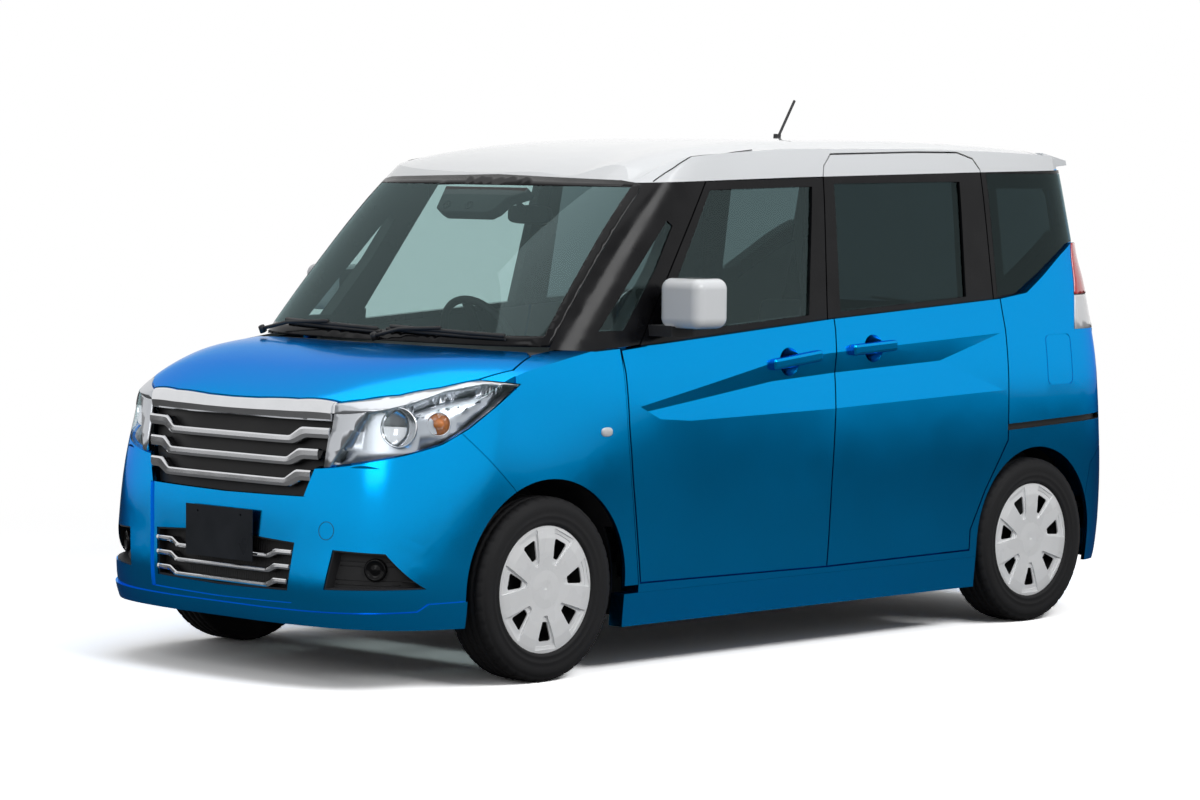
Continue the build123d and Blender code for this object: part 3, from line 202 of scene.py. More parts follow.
looks = {
    "body_paint": paint("blue_paint", (0.0, 0.27, 0.66), (0.0, 0.34, 0.76), 1.0, 0.20, 0.22,
                        (0.0, 0.42, 0.85)),
    "roof_paint": paint("white_paint", (0.72, 0.74, 0.76), (0.76, 0.78, 0.80), 0.0, 0.3, 1.0,
                        (1.0, 1.0, 1.0)),
    "dark_trim": moulded("black_gloss", (0.004, 0.004, 0.005), (0.008, 0.008, 0.009), 0.16,
                         shine=0.14),
    "plain_plastic": moulded("black_plastic", (0.018, 0.018, 0.019), (0.028, 0.028, 0.03), 0.55),
    "clear_glass": pane("clear_glass", (0.75, 0.83, 0.825), 1.75),
    "dark_glass": pane("dark_glass", (0.30, 0.35, 0.36)),
    "chrome": metal("chrome_plate", (0.70, 0.71, 0.73), 0.10),
    "lamp_lens": pane("lamp_lens", (0.96, 0.97, 0.98)),
    "lining": moulded("cabin_lining", (0.085, 0.085, 0.088), (0.11, 0.11, 0.114), 0.75),
    "headliner": moulded("headliner_cloth", (0.38, 0.37, 0.35), (0.43, 0.42, 0.40), 0.9, 600.0,
                         0.0003),
    "rim_steel": moulded("rim_steel", (0.010, 0.010, 0.011), (0.016, 0.016, 0.017), 0.5),
    "satin": metal("satin_silver", (0.50, 0.52, 0.55), 0.28),
    "reflector": metal("lamp_reflector", (0.80, 0.81, 0.83), 0.10),
    "mirror": metal("mirror_glass", (0.85, 0.87, 0.88), 0.02, 0.01),
    "amber": moulded("amber_lens", (0.85, 0.22, 0.01), (0.95, 0.28, 0.02), 0.12, coat=1.0),
    "clear_lens": moulded("clear_lens", (0.62, 0.63, 0.65), (0.72, 0.73, 0.75), 0.12, coat=1.0),
    "tail_lens": moulded("red_lens", (0.45, 0.01, 0.015), (0.55, 0.012, 0.02), 0.12, coat=1.0),
    "tyre": moulded("tyre_rubber", (0.005, 0.005, 0.006), (0.010, 0.010, 0.011), 0.75),
    "wheel_cover": moulded("cover_silver", (0.86, 0.87, 0.88), (0.90, 0.91, 0.92), 0.28,
                           coat=0.6),
    "seat_fabric": moulded("seat_cloth", (0.03, 0.03, 0.033), (0.055, 0.055, 0.06), 0.85,
                           500.0, 0.0004),
    "underbody": moulded("underbody_coat", (0.012, 0.012, 0.014), (0.03, 0.03, 0.033), 0.7,
                         300.0, 0.0003),
    "dark_metal": moulded("cast_metal", (0.05, 0.05, 0.055), (0.09, 0.09, 0.095), 0.5, 400.0,
                          0.0003),
    "exhaust_steel": metal("exhaust_steel", (0.42, 0.40, 0.38), 0.35, 0.15),
    "plate": moulded("blank_plate", (0.010, 0.014, 0.020), (0.014, 0.018, 0.026), 0.3),
}
slots = {part["node"]: part["material_slot"] for part in frame["record"]["subparts"]}
for name, obj in nodes.items():
    obj.data.materials.clear()
    obj.data.materials.append(looks[slots[name]])


# ---- pieces ----
def second_look(name, look, test):
    """Gives another look to the faces of a CAD node that pass a test of centre and normal."""
    mesh = nodes[name].data
    mesh.materials.append(looks[look])
    index = len(mesh.materials) - 1
    for face in mesh.polygons:
        if test(face.center, face.normal):
            face.material_index = index


def piece(name, bm, look="plain_plastic", body="body", smooth=True,
          replaced=()):
    """New piece from a bmesh: its look and the body that it rides on."""
    mesh = bpy.data.meshes.new(name)
    bm.normal_update()
    bm.to_mesh(mesh)
    bm.free()
    if smooth:
        mesh.shade_smooth()
    obj = bpy.data.objects.new(name, mesh)
    scene.collection.objects.link(obj)
    obj.data.materials.append(looks[look])
    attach(obj, body)
    if replaced:
        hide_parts(*replaced)


def along(points, x):
    """Height at x of a line through rows of (x, height)."""
    for (x0, z0), (x1, z1) in zip(points, points[1:]):
        if x0 <= x <= x1:
            return z0 + (z1 - z0) * (x - x0) / (x1 - x0)
    return points[0][1] if x < points[0][0] else points[-1][1]


# ---- linings and dark openings of the CAD's nodes, and painted shade in the rail slots ----
PANELS = ("body_side", "front_door", "sliding_door", "front_fender")
RAIL_BACK, RAIL_FRONT = -1.739, -1.149
RAIL_LOW = ((-1.738, 0.723), (-1.150, 0.703))
RAIL_HIGH = ((-1.738, 0.747), (-1.150, 0.728))
HEADLINER_FOOT = 1.6
TOP_BAR_LOW = 0.867


def inner_side(centre, normal):
    """Faces of a side panel that look into the cabin."""
    return normal.y * centre.y < -0.2 * abs(centre.y)


def rail_slot(centre, normal):
    """Faces of a body side in the slot for the sliding door's rail, painted near black as shade.
    """
    return (RAIL_BACK < centre.x < RAIL_FRONT
            and along(RAIL_LOW, centre.x) < centre.z < along(RAIL_HIGH, centre.x))


for panel in PANELS:
    for _, word in SIDES:
        second_look(f"{panel}_{word}", "lining", inner_side)
for _, word in SIDES:
    # near-black look on the faces inside each rail slot: painted shade in the slot
    second_look(f"body_side_{word}", "rim_steel", rail_slot)
second_look("roof", "headliner", lambda c, n: n.z < -0.3 and c.z > HEADLINER_FOOT)
second_look("tailgate", "lining", lambda c, n: n.x > 0.3)
second_look("upper_grille", "rim_steel", lambda c, n: c.z < TOP_BAR_LOW)
nodes["lower_grille"].data.materials[0] = looks["rim_steel"]
nodes["tail_lamps"].data.materials[0] = looks["rim_steel"]


# ---- shapes ----
def on_side(point, side):
    """A place or direction of the left side, on that side (1) or the other (-1)."""
    x, y, z = point
    return Vector((x, y * side, z))


def tree_of(name):
    """Search tree over a CAD node's faces."""
    mesh = nodes[name].data
    return BVHTree.FromPolygons([v.co for v in mesh.vertices],
                                [face.vertices for face in mesh.polygons])


def front_x(tree, y, z):
    """How far forward a node's surface reaches at a place seen from the front."""
    hit = tree.ray_cast(Vector((3, y, z)), Vector((-1, 0, 0)))
    return hit[0].x if hit[0] else None


def back_x(tree, y, z):
    """How far back a node's surface reaches at a place seen from behind."""
    hit = tree.ray_cast(Vector((-3, y, z)), Vector((1, 0, 0)))
    return hit[0].x if hit[0] else 0.0


def edge_between(low, high, test):
    """Place between low, which passes a test, and high, which fails it, where it changes."""
    for _ in range(18):
        middle = (low + high) / 2
        low, high = (middle, high) if test(middle) else (low, middle)
    return low


def ring_faces(bm, low, high):
    """Faces between two closed rings of vertices."""
    for i in range(len(low)):
        j = (i + 1) % len(low)
        bm.faces.new((low[i], low[j], high[j], high[i]))


def swept(paths, closed=False):
    """Bar or tube from rows of points: each row is one closed cross-section."""
    bm = bmesh.new()
    rows = [[bm.verts.new(point) for point in row] for row in paths]
    for row, after in zip(rows, rows[1:]):
        ring_faces(bm, row, after)
    if closed:
        ring_faces(bm, rows[-1], rows[0])
    else:
        bm.faces.new(rows[0][::-1])
        bm.faces.new(rows[-1])
    bmesh.ops.recalc_face_normals(bm, faces=bm.faces)
    return bm


def tube(points, radius, sides, closed=False):
    """Round tube along points."""
    rows = []
    for i, point in enumerate(points):
        before = points[i - 1] if i or closed else point
        after = points[(i + 1) % len(points)] if i < len(points) - 1 or closed else point
        ahead = (Vector(after) - Vector(before)).normalized()
        side = ahead.cross(Vector((0, 0, 1)))
        if side.length < 0.2:
            side = ahead.cross(Vector((1, 0, 0)))
        side.normalize()
        other = ahead.cross(side)
        rows.append([Vector(point) + side * radius * cos(2 * pi * k / sides)
                     + other * radius * sin(2 * pi * k / sides) for k in range(sides)])
    return swept(rows, closed)


def merged(parts):
    """One bmesh from several."""
    whole = bmesh.new()
    for part in parts:
        mesh = bpy.data.meshes.new("part")
        part.to_mesh(mesh)
        part.free()
        whole.from_mesh(mesh)
        bpy.data.meshes.remove(mesh)
    return whole


def slab(outline, depth, place, right_way, up_way, bevel):
    """Plate with rounded edges from an outline of (right, up) points."""
    right_way, up_way = Vector(right_way).normalized(), Vector(up_way).normalized()
    ahead = right_way.cross(up_way)
    bm = bmesh.new()
    front = [bm.verts.new(Vector(place) + right_way * a + up_way * b) for a, b in outline]
    extruded = bmesh.ops.extrude_face_region(bm, geom=[bm.faces.new(front)])
    for item in extruded["geom"]:
        if isinstance(item, bmesh.types.BMVert):
            item.co -= ahead * depth
    bmesh.ops.recalc_face_normals(bm, faces=bm.faces)
    bmesh.ops.bevel(bm, geom=bm.edges[:], offset=bevel, segments=3, affect="EDGES", profile=0.5)
    return bm


def oval(wide, tall, power, steps=32):
    """Outline of a superellipse as (right, up) points."""
    points = []
    for i in range(steps):
        turn = 2 * pi * i / steps
        c, d = cos(turn), sin(turn)
        points.append((wide * abs(c) ** (2 / power) * (1 if c > 0 else -1),
                       tall * abs(d) ** (2 / power) * (1 if d > 0 else -1)))
    return points


def spun(profile, centre, axis, steps=48):
    """Surface of revolution: profile rows are (distance along the axis, radius)."""
    axis = Vector(axis).normalized()
    side = axis.orthogonal().normalized()
    other = axis.cross(side)
    bm = bmesh.new()
    rings = []
    for reach, radius in profile:
        ring = []
        for i in range(steps):
            turn = 2 * pi * i / steps
            way = side * cos(turn) + other * sin(turn)
            ring.append(bm.verts.new(Vector(centre) + axis * reach + way * radius))
        rings.append(ring)
    for low, high in zip(rings, rings[1:]):
        ring_faces(bm, low, high)
    for ring in (rings[0][::-1], rings[-1]):
        if (ring[0].co - ring[steps // 2].co).length > 1e-5:
            bm.faces.new(ring)
    bmesh.ops.remove_doubles(bm, verts=bm.verts, dist=1e-6)
    bmesh.ops.recalc_face_normals(bm, faces=bm.faces)
    return bm


def shell_faces(name, test):
    """Copy of the faces of a CAD node that pass a test of centre and normal."""
    mesh = nodes[name].data
    bm = bmesh.new()
    made = {}
    for face in mesh.polygons:
        if not test(face.center, face.normal):
            continue
        corners = []
        for i in face.vertices:
            if i not in made:
                made[i] = bm.verts.new(mesh.vertices[i].co)
            corners.append(made[i])
        bm.faces.new(corners)
    bmesh.ops.remove_doubles(bm, verts=bm.verts, dist=1e-5)
    bm.normal_update()
    return bm


def split(bm, point, normal):
    """Cuts a mesh along a plane so that what lies on each side has its own faces."""
    bmesh.ops.bisect_plane(bm, geom=bm.verts[:] + bm.edges[:] + bm.faces[:],
                           plane_co=point, plane_no=normal)


def split_level(bm, z):
    """Cuts a mesh at a height."""
    split(bm, (0, 0, z), (0, 0, 1))


def split_slanted(bm, side, first, second):
    """Cuts a mesh along the plane seen from the front as a line through two (y, z) points."""
    (y0, z0), (y1, z1) = first, second
    split(bm, (0, side * y0, z0), Vector((0, side * (z1 - z0), y0 - y1)).normalized())


def slanted_y(first, second, z):
    """Distance from the middle, at a height, of the line through two (y, z) points."""
    (y0, z0), (y1, z1) = first, second
    return y0 + (y1 - y0) * (z - z0) / (z1 - z0)


def kept(bm, test):
    """Copy of a mesh with only the faces whose centre passes a test."""
    copy = bm.copy()
    gone = [face for face in copy.faces if not test(face.calc_center_median())]
    bmesh.ops.delete(copy, geom=gone, context="FACES")
    return copy


def thickened(bm, depth, lift=0.0):
    """Turns an open skin into a closed sheet, from lift outside it to depth inside."""
    bm.normal_update()
    top = bm.faces[:]
    rim = [edge for edge in bm.edges if edge.is_boundary]
    under = {v: bm.verts.new(v.co - v.normal * depth) for v in bm.verts[:]}
    for vertex in under:
        vertex.co += vertex.normal * lift
    for face in top:
        bm.faces.new([under[v] for v in reversed(face.verts)])
    for edge in rim:
        order = list(edge.link_faces[0].verts)
        a, b = edge.verts
        if order[(order.index(a) + 1) % len(order)] == b:
            a, b = b, a
        bm.faces.new((a, b, under[b], under[a]))
    return bm


# ---- grille bars ----
UPPER_BARS = (0.645, 0.712, 0.779)
LOWER_BARS = (0.316, 0.362, 0.408)
# thickness, rise of the ends and half width: plating, and the lower grille's own bars
UPPER_PLATING = (0.029, 0.016, 0.460)
LOWER_PLATING = (0.014, 0.012, 0.350)
LOWER_BAR = (0.009, 0.014, 0.350)
# where a bar's upper and lower edge step up, as shares of its half width
TOP_STEP, FOOT_STEP = (0.62, 0.72), (0.66, 0.76)
BAR_STEPS = 96
BAR_JUMP = 0.012
FULL_HALF = 0.009
# rows of (forward, share of the half height)
BAR_SECTION = ((-0.010, -0.90), (0.0010, -0.94), (0.0045, -0.80), (0.0085, -0.15), (0.0080, 0.60),
               (0.0050, 0.90), (0.0010, 0.97), (-0.010, 0.90))
TOP_BAR_WIDE, TOP_BAR_STEPS = 0.53, 72
TOP_BAR_FOOT, TOP_BAR_FACE = 0.842, 0.872
# rows of (share of the height, forward)
TOP_BAR_SECTION = ((0.02, -0.008), (0.02, 0.001), (0.10, 0.0050), (0.42, 0.0075), (0.75, 0.0065),
                   (0.94, 0.0040), (0.985, 0.0005), (0.985, -0.008))


def bar_edges(y, thick, rise, wide):
    """Lower and upper edge, from its middle height, of a bar that steps up at its ends."""
    y = abs(y)
    start, end = TOP_STEP
    top = along(((0, thick / 2), (start * wide, thick / 2), (end * wide, rise + thick),
                 (wide, rise + thick)), y)
    start, end = FOOT_STEP
    bottom = along(((0, -thick / 2), (start * wide, -thick / 2),
                    (end * wide, rise - thick / 3), (wide, rise - thick / 3)), y)
    return bottom, top


def plated_bar(grille, middle, thick, rise, wide):
    """Faceted plating over one stepped bar, from one end that the grille has to the other."""
    rows = []
    for i in range(BAR_STEPS + 1):
        y = wide * (2 * i / BAR_STEPS - 1)
        bottom, top = bar_edges(y, thick, rise, wide)
        z, half = middle + (top + bottom) / 2, (top - bottom) / 2
        x = front_x(grille, y, z)
        if x and (not rows or abs(x - rows[-1][0]) < BAR_JUMP):
            rows.append((x, y, z, half))
    return swept([[(x + out * min(1.0, half / FULL_HALF), y, z + half * share)
                   for out, share in BAR_SECTION] for x, y, z, half in rows])


def plated_top(grille):
    """Crowned plating over the wide bar at the grille's top."""
    rows = []
    for i in range(TOP_BAR_STEPS + 1):
        y = TOP_BAR_WIDE * (2 * i / TOP_BAR_STEPS - 1)
        if not front_x(grille, y, TOP_BAR_FACE):
            continue
        top = edge_between(TOP_BAR_FACE, 1.0, lambda z: front_x(grille, y, z))
        row = []
        for share, out in TOP_BAR_SECTION:
            z = TOP_BAR_FOOT + (top - TOP_BAR_FOOT) * share
            row.append((front_x(grille, y, max(z, TOP_BAR_FACE)) + out, y, z))
        rows.append(row)
    return swept(rows)


upper, lower = tree_of("upper_grille"), tree_of("lower_grille")
bars = [plated_bar(upper, z, *UPPER_PLATING) for z in UPPER_BARS]
piece("upper_bar_plating", merged(bars), "chrome", smooth=False)
piece("top_bar_plating", plated_top(upper), "chrome", smooth=False)
bars = [plated_bar(lower, z, *LOWER_PLATING) for z in LOWER_BARS]
piece("lower_bar_plating", merged(bars), "chrome", smooth=False)


# ---- headlamps ----
# rows of (x, height of the strip's lower edge)
STRIP = ((1.272, 0.953), (1.392, 0.962), (1.512, 0.940), (1.622, 0.904), (1.740, 0.868),
         (1.800, 0.858))
PANEL_TOP, PANEL_FOOT = (0.560, 0.885), (0.468, 0.715)
SKIN_FACING, CUT_FACE = 0.3, 2e-3
HOUSING_EDGE, HOUSING_DEPTH = 0.0045, 0.045
# bowls and bulbs: rows of (distance along the axis, radius)
BOWL = ((-0.040, 0.004), (-0.036, 0.016), (-0.026, 0.032), (-0.010, 0.047), (0.010, 0.058),
        (0.014, 0.060), (0.014, 0.063), (0.006, 0.063))
BULB = ((-0.030, 0.0), (-0.030, 0.007), (-0.006, 0.007), (0.000, 0.005), (0.002, 0.0))
BOWL_PLACE, BOWL_WAY = (1.640, 0.628, 0.828), (0.93, 0.36, 0.06)
CUP = ((-0.020, 0.003), (-0.016, 0.016), (-0.004, 0.028), (0.006, 0.034), (0.010, 0.037),
       (0.002, 0.038))
GLOBE = ((-0.016, 0.0), (-0.014, 0.010), (-0.004, 0.017), (0.006, 0.017), (0.014, 0.010),
         (0.017, 0.0))
CUP_PLACE, CUP_WAY = (1.535, 0.692, 0.838), (0.75, 0.66, 0.04)


def on_strip(point):
    """Whether a point is on the bright strip along the lamp's top."""
    return point.z > along(STRIP, point.x) + 1e-5


def on_panel(point):
    """Whether a point is on the satin panel between grille and lamp."""
    return abs(point.y) < slanted_y(PANEL_FOOT, PANEL_TOP, point.z) and not on_strip(point)


def lamp_housing(bm):
    """Turns a lens's skin into its housing: a floor set back, with walls up to the lens."""
    bm.normal_update()
    floor = bm.verts[:]
    walls = [edge.verts[:] for edge in bm.edges if edge.is_boundary]
    edge_of = {v: bm.verts.new(v.co - v.normal * HOUSING_EDGE) for v in floor if v.is_boundary}
    for vertex in floor:
        vertex.co -= vertex.normal * HOUSING_DEPTH
    for a, b in walls:
        bm.faces.new((a, b, edge_of[b], edge_of[a]))
    return bm


def headlamp(side, word):
    """Lens, strip, panel, housing, reflectors and bulbs of one headlamp."""
    skin = shell_faces("headlamps", lambda c, n: c.y * side > 0
                       and n.x + n.y * side > SKIN_FACING
                       and min(abs(n.x), abs(n.y), abs(n.z)) > CUT_FACE)
    for (x0, z0), (x1, z1) in zip(STRIP, STRIP[1:]):
        split(skin, (x0, 0, z0), Vector((z1 - z0, 0, x0 - x1)).normalized())
    split_slanted(skin, side, PANEL_TOP, PANEL_FOOT)
    panel = kept(skin, on_panel)
    strip = kept(skin, on_strip)
    lens = kept(skin, lambda c: not on_panel(c) and not on_strip(c))
    skin.free()
    housing = lamp_housing(lens.copy())
    piece(f"lamp_panel_{word}", thickened(panel, 0.012), "satin")
    piece(f"lamp_strip_{word}", thickened(strip, 0.014), "satin")
    piece(f"lamp_lens_{word}", thickened(lens, 0.003), "lamp_lens",
          replaced=["headlamps"])
    piece(f"lamp_housing_{word}", housing, "satin")
    place, way = on_side(BOWL_PLACE, side), on_side(BOWL_WAY, side)
    piece(f"lamp_bowl_{word}", spun(BOWL, place, way), "reflector")
    piece(f"lamp_bulb_{word}", spun(BULB, place, way, 24), "clear_lens")
    place, way = on_side(CUP_PLACE, side), on_side(CUP_WAY, side)
    piece(f"lamp_cup_{word}", spun(CUP, place, way), "reflector")
    piece(f"indicator_bulb_{word}", spun(GLOBE, place, way, 24), "amber")


for side, word in SIDES:
    headlamp(side, word)


# ---- tyres ----
RIM_RADIUS = 0.191
COVER_DEPTH = 0.024
TYRE_STEPS, SLOT_EVERY = 240, 6
SHOULDER, LAND = 1, 2
SLOT_START = {SHOULDER: 0, LAND: 3}
SLOT_DEPTH = {SHOULDER: 0.0045, LAND: 0.002}
GROOVES = (-0.54, -0.18, 0.18, 0.54)
GROOVE_HALF, GROOVE_DEPTH = 0.0045, 0.007


def tyre_rows(low, high, rim, crown):
    """Cross-section of a tyre from bead to bead, as (width, radius, 0 or the kind of slot)."""
    middle, h = (low + high) / 2, (high - low) / 2
    side_wall = [(0.72, rim), (0.75, rim + 0.010), (0.90, rim + 0.018), (0.945, rim + 0.026),
                 (0.925, rim + 0.028), (0.965, rim + 0.040), (0.985, rim + 0.047),
                 (0.972, rim + 0.0485), (0.995, rim + 0.060), (0.985, crown - 0.034),
                 (0.955, crown - 0.0215), (0.93, crown - 0.020), (0.915, crown - 0.0125)]
    shoulder = [(0.86, crown - 0.0060), (0.76, crown - 0.0020)]
    rows = [(middle - h * share, radius, 0) for share, radius in side_wall]
    rows += [(middle - h * share, radius, SHOULDER) for share, radius in shoulder]
    for share in GROOVES:
        place = middle + h * share
        rows += [(place - GROOVE_HALF, crown, LAND),
                 (place - GROOVE_HALF * 0.6, crown - GROOVE_DEPTH, 0),
                 (place + GROOVE_HALF * 0.6, crown - GROOVE_DEPTH, 0),
                 (place + GROOVE_HALF, crown, LAND)]
    rows += [(middle + h * share, radius, SHOULDER) for share, radius in shoulder[::-1]]
    rows += [(middle + h * share, radius, 0) for share, radius in side_wall[::-1]]
    return rows


def tyre(name, body):
    """Tyre with grooved tread, shoulder slots and moulded rings."""
    low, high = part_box(name)
    centre = (Vector(low) + Vector(high)) / 2
    crown = (high[2] - low[2]) / 2
    rows = tyre_rows(low[1] - centre.y, high[1] - centre.y, RIM_RADIUS, crown - 0.0003)
    bm = bmesh.new()
    rings = []
    for i in range(TYRE_STEPS):
        ring = []
        turn = 2 * pi * i / TYRE_STEPS
        for y, radius, kind in rows:
            if kind and i % SLOT_EVERY == SLOT_START[kind]:
                radius -= SLOT_DEPTH[kind]
            ring.append(bm.verts.new((centre.x + radius * cos(turn), centre.y + y,
                                      centre.z + radius * sin(turn))))
        rings.append(ring)
    for ring, after in zip(rings, rings[1:] + rings[:1]):
        ring_faces(bm, ring, after)
    bmesh.ops.recalc_face_normals(bm, faces=bm.faces)
    piece(name + "_tread", bm, "tyre", body, replaced=[name])


def dark_rim(name):
    """Darkens the part of a wheel that lies behind its cover."""
    low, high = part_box(name)
    face = max(abs(low[1]), abs(high[1])) - COVER_DEPTH
    second_look(name, "rim_steel", lambda c, n: abs(c.y) < face)


for end in ("front", "rear"):
    for _, word in SIDES:
        tyre(f"tyre_{end}_{word}", f"wheel_{end}_{word}")
        dark_rim(f"wheel_{end}_{word}")


# ---- seats ----
VOXEL = 0.009
SWELL_LIMIT = 0.024
CLOTH_FRAMES = 20
SEAM_WIDTH, SEAM_DEPTH = 0.016, 0.008
PAD_SHRINK, PAD_ROUND = 0.94, 0.36
PAD_ROOM, TOP_ROOM = 0.004, 1.12
FRONT_Y, REAR_Y, REAR_HEAD_Y = 0.350, 0.2865, 0.360
POST_GAP, POST_RADIUS = 0.055, 0.006
BASE_WIDTH = 0.372
BASE_OUTLINE = ((-0.225, -0.056), (0.190, -0.056), (0.200, -0.010), (0.180, 0.056),
                (-0.220, 0.056), (-0.235, 0.010))
# size, axis of the face, rise of the sides, narrowing, and the sewn lines' places
SHAPES = {
    "squab": dict(size=(0.50, 0.50, 0.140), top=2, bolster=0.018, taper=0.0,
                  across_lines=(-0.06, 0.10), along_lines=(0.165,)),
    "back": dict(size=(0.110, 0.50, 0.58), top=0, bolster=0.022, taper=0.14,
                 across_lines=(-0.12, 0.08), along_lines=(0.155,)),
    "head": dict(size=(0.080, 0.25, 0.150), top=0, bolster=0.0, taper=0.06,
                 across_lines=(), along_lines=(0.085,)),
    "bench_squab": dict(size=(0.48, 0.565, 0.160), top=2, bolster=0.010, taper=0.0,
                        across_lines=(-0.08, 0.08), along_lines=(0.19,)),
    "bench_back": dict(size=(0.110, 0.565, 0.56), top=0, bolster=0.012, taper=0.03,
                       across_lines=(-0.10, 0.10), along_lines=(0.19,)),
}


def smooth_step(low, high, value):
    """0 below low, 1 above high, and a smooth rise between them."""
    share = min(max((value - low) / (high - low), 0.0), 1.0)
    return share * share * (3 - 2 * share)


def settle(obj):
    """Replaces an object's mesh with what its modifiers make of it."""
    shown = obj.evaluated_get(bpy.context.evaluated_depsgraph_get())
    mesh = bpy.data.meshes.new_from_object(shown)
    obj.modifiers.clear()
    obj.data = mesh


def pad_mesh(shape):
    """Rounded block round the origin, raised towards its sides and narrower at its top."""
    size, top = shape["size"], shape["top"]
    bm = bmesh.new()
    bmesh.ops.create_cube(bm, size=1)
    shrink = [axis * PAD_SHRINK for axis in size]
    for vertex in bm.verts:
        vertex.co = Vector([c * axis for c, axis in zip(vertex.co, shrink)])
    bmesh.ops.bevel(bm, geom=bm.edges[:], offset=min(size) * PAD_ROUND, segments=4,
                    profile=0.5, affect="EDGES")
    mesh = bpy.data.meshes.new("pad")
    bm.to_mesh(mesh)
    bm.free()
    obj = bpy.data.objects.new("pad", mesh)
    scene.collection.objects.link(obj)
    remesh = obj.modifiers.new("remesh", "REMESH")
    remesh.mode = "VOXEL"
    remesh.voxel_size = VOXEL
    settle(obj)
    half_width = size[1] / 2
    for vertex in obj.data.vertices:
        place = vertex.co
        side = smooth_step(0.55, 0.9, abs(place.y) / half_width)
        face = smooth_step(-0.2, 0.5, place[top] / size[top])
        place[top] += shape["bolster"] * side * face
        if top == 0:
            place.y *= 1 - shape["taper"] * smooth_step(-0.5, 0.5, place.z / size[2])
    return obj


def inflate(objs):
    """Fills the pads with a short cloth simulation whose movement is capped."""
    start = {obj: [vertex.co.copy() for vertex in obj.data.vertices] for obj in objs}
    for obj in objs:
        cloth = obj.modifiers.new("cloth", "CLOTH")
        cloth.settings.use_pressure = True
        cloth.settings.uniform_pressure_force = 4
        cloth.settings.effector_weights.gravity = 0
    for step in range(1, CLOTH_FRAMES + 1):
        scene.frame_set(step)
    for obj in objs:
        settle(obj)
        for vertex, first in zip(obj.data.vertices, start[obj]):
            move = vertex.co - first
            if move.length > SWELL_LIMIT:
                vertex.co = first + move.normalized() * SWELL_LIMIT
    scene.frame_set(1)


def stitched(obj, shape):
    """Presses sewn channels into the face of a pad and keeps it inside its space."""
    size, top = shape["size"], shape["top"]
    run = 0 if top == 2 else 2
    for vertex in obj.data.vertices:
        place = vertex.co
        face = smooth_step(0.1, 0.4, place[top] / size[top])
        dip = 0.0
        for line in shape["across_lines"]:
            if abs(place.y) < size[1] * 0.32:
                dip = max(dip, 1 - smooth_step(0.0, SEAM_WIDTH, abs(place[run] - line)))
        for line in shape["along_lines"]:
            dip = max(dip, 1 - smooth_step(0.0, SEAM_WIDTH, abs(abs(place.y) - line)))
        place[top] -= SEAM_DEPTH * dip * face
        for axis in range(3):
            reach = size[axis] / 2 * (TOP_ROOM if axis == top else 1.0) + PAD_ROOM
            place[axis] = min(max(place[axis], -reach), reach)


def cushion(name, kind, matrix, replaced):
    """One padded piece, copied from its shape and set in place."""
    mesh = cushions[kind].data.copy()
    mesh.name = name
    mesh.transform(matrix)
    mesh.shade_smooth()
    mesh.materials.clear()
    mesh.materials.append(looks["seat_fabric"])
    obj = bpy.data.objects.new(name, mesh)
    scene.collection.objects.link(obj)
    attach(obj, "body")
    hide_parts(replaced)


def placed(x, y, z, lean=0.0, lift=0.0):
    """Matrix that lifts a shape, leans it back and sets it at a point."""
    return (Matrix.Translation((x, y, z)) @ Matrix.Rotation(radians(-lean), 4, "Y")
            @ Matrix.Translation((0, 0, lift)))


def head_posts(name, y, foot, top):
    """Two posts of a head restraint, between its foot and top as (x, z) points."""
    posts = []
    for way in (1, -1):
        across = y + way * POST_GAP
        posts.append(tube([(foot[0], across, foot[1]), (top[0], across, top[1])],
                          POST_RADIUS, 12))
    piece(name, merged(posts), "chrome")


def front_seat(side, word):
    """Cushions, posts and plinth of one front seat."""
    y = side * FRONT_Y
    cushion(f"front_squab_{word}", "squab", placed(-0.010, y, 0.400), "front_seats")
    cushion(f"front_back_{word}", "back", placed(-0.270, y, 0.440, 18, 0.290), "front_seats")
    cushion(f"front_head_{word}", "head", placed(-0.452, y, 1.030, 10, 0.075), "front_seats")
    head_posts(f"front_head_posts_{word}", y, (-0.425, 0.930), (-0.456, 1.060))
    base = slab(BASE_OUTLINE, BASE_WIDTH, (0, y - BASE_WIDTH / 2, 0.274), (1, 0, 0), (0, 0, 1),
                0.008)
    piece(f"front_seat_base_{word}", base)


def rear_half(side, word):
    """Cushions of one half of the rear bench."""
    y = side * REAR_Y
    cushion(f"rear_squab_{word}", "bench_squab", placed(-0.840, y, 0.480), "rear_seat")
    cushion(f"rear_back_{word}", "bench_back", placed(-1.090, y, 0.500, 20, 0.280), "rear_seat")


cushions = {kind: pad_mesh(shape) for kind, shape in SHAPES.items()}
inflate(list(cushions.values()))
for kind, shape in SHAPES.items():
    stitched(cushions[kind], shape)
for side, word in SIDES:
    front_seat(side, word)
    rear_half(side, word)
for y, word in ((REAR_HEAD_Y, "left"), (0.0, "middle"), (-REAR_HEAD_Y, "right")):
    cushion(f"rear_head_{word}", "head", placed(-1.290, y, 1.040, 12), "rear_seat")
    head_posts(f"rear_head_posts_{word}", y, (-1.262, 0.930), (-1.290, 1.040))
for shape in cushions.values():
    bpy.data.objects.remove(shape)


# ---- small fittings ----
TOW_Y, TOW_Z, TOW_RADIUS = 0.472, 0.504, 0.028
REPEATER_X, REPEATER_Z = 0.899, 0.791
# rows of (out, share of the outline)
REPEATER_ROWS = ((-0.004, 1.0), (0.0015, 1.0), (0.004, 0.88), (0.0058, 0.6), (0.0065, 0.0))
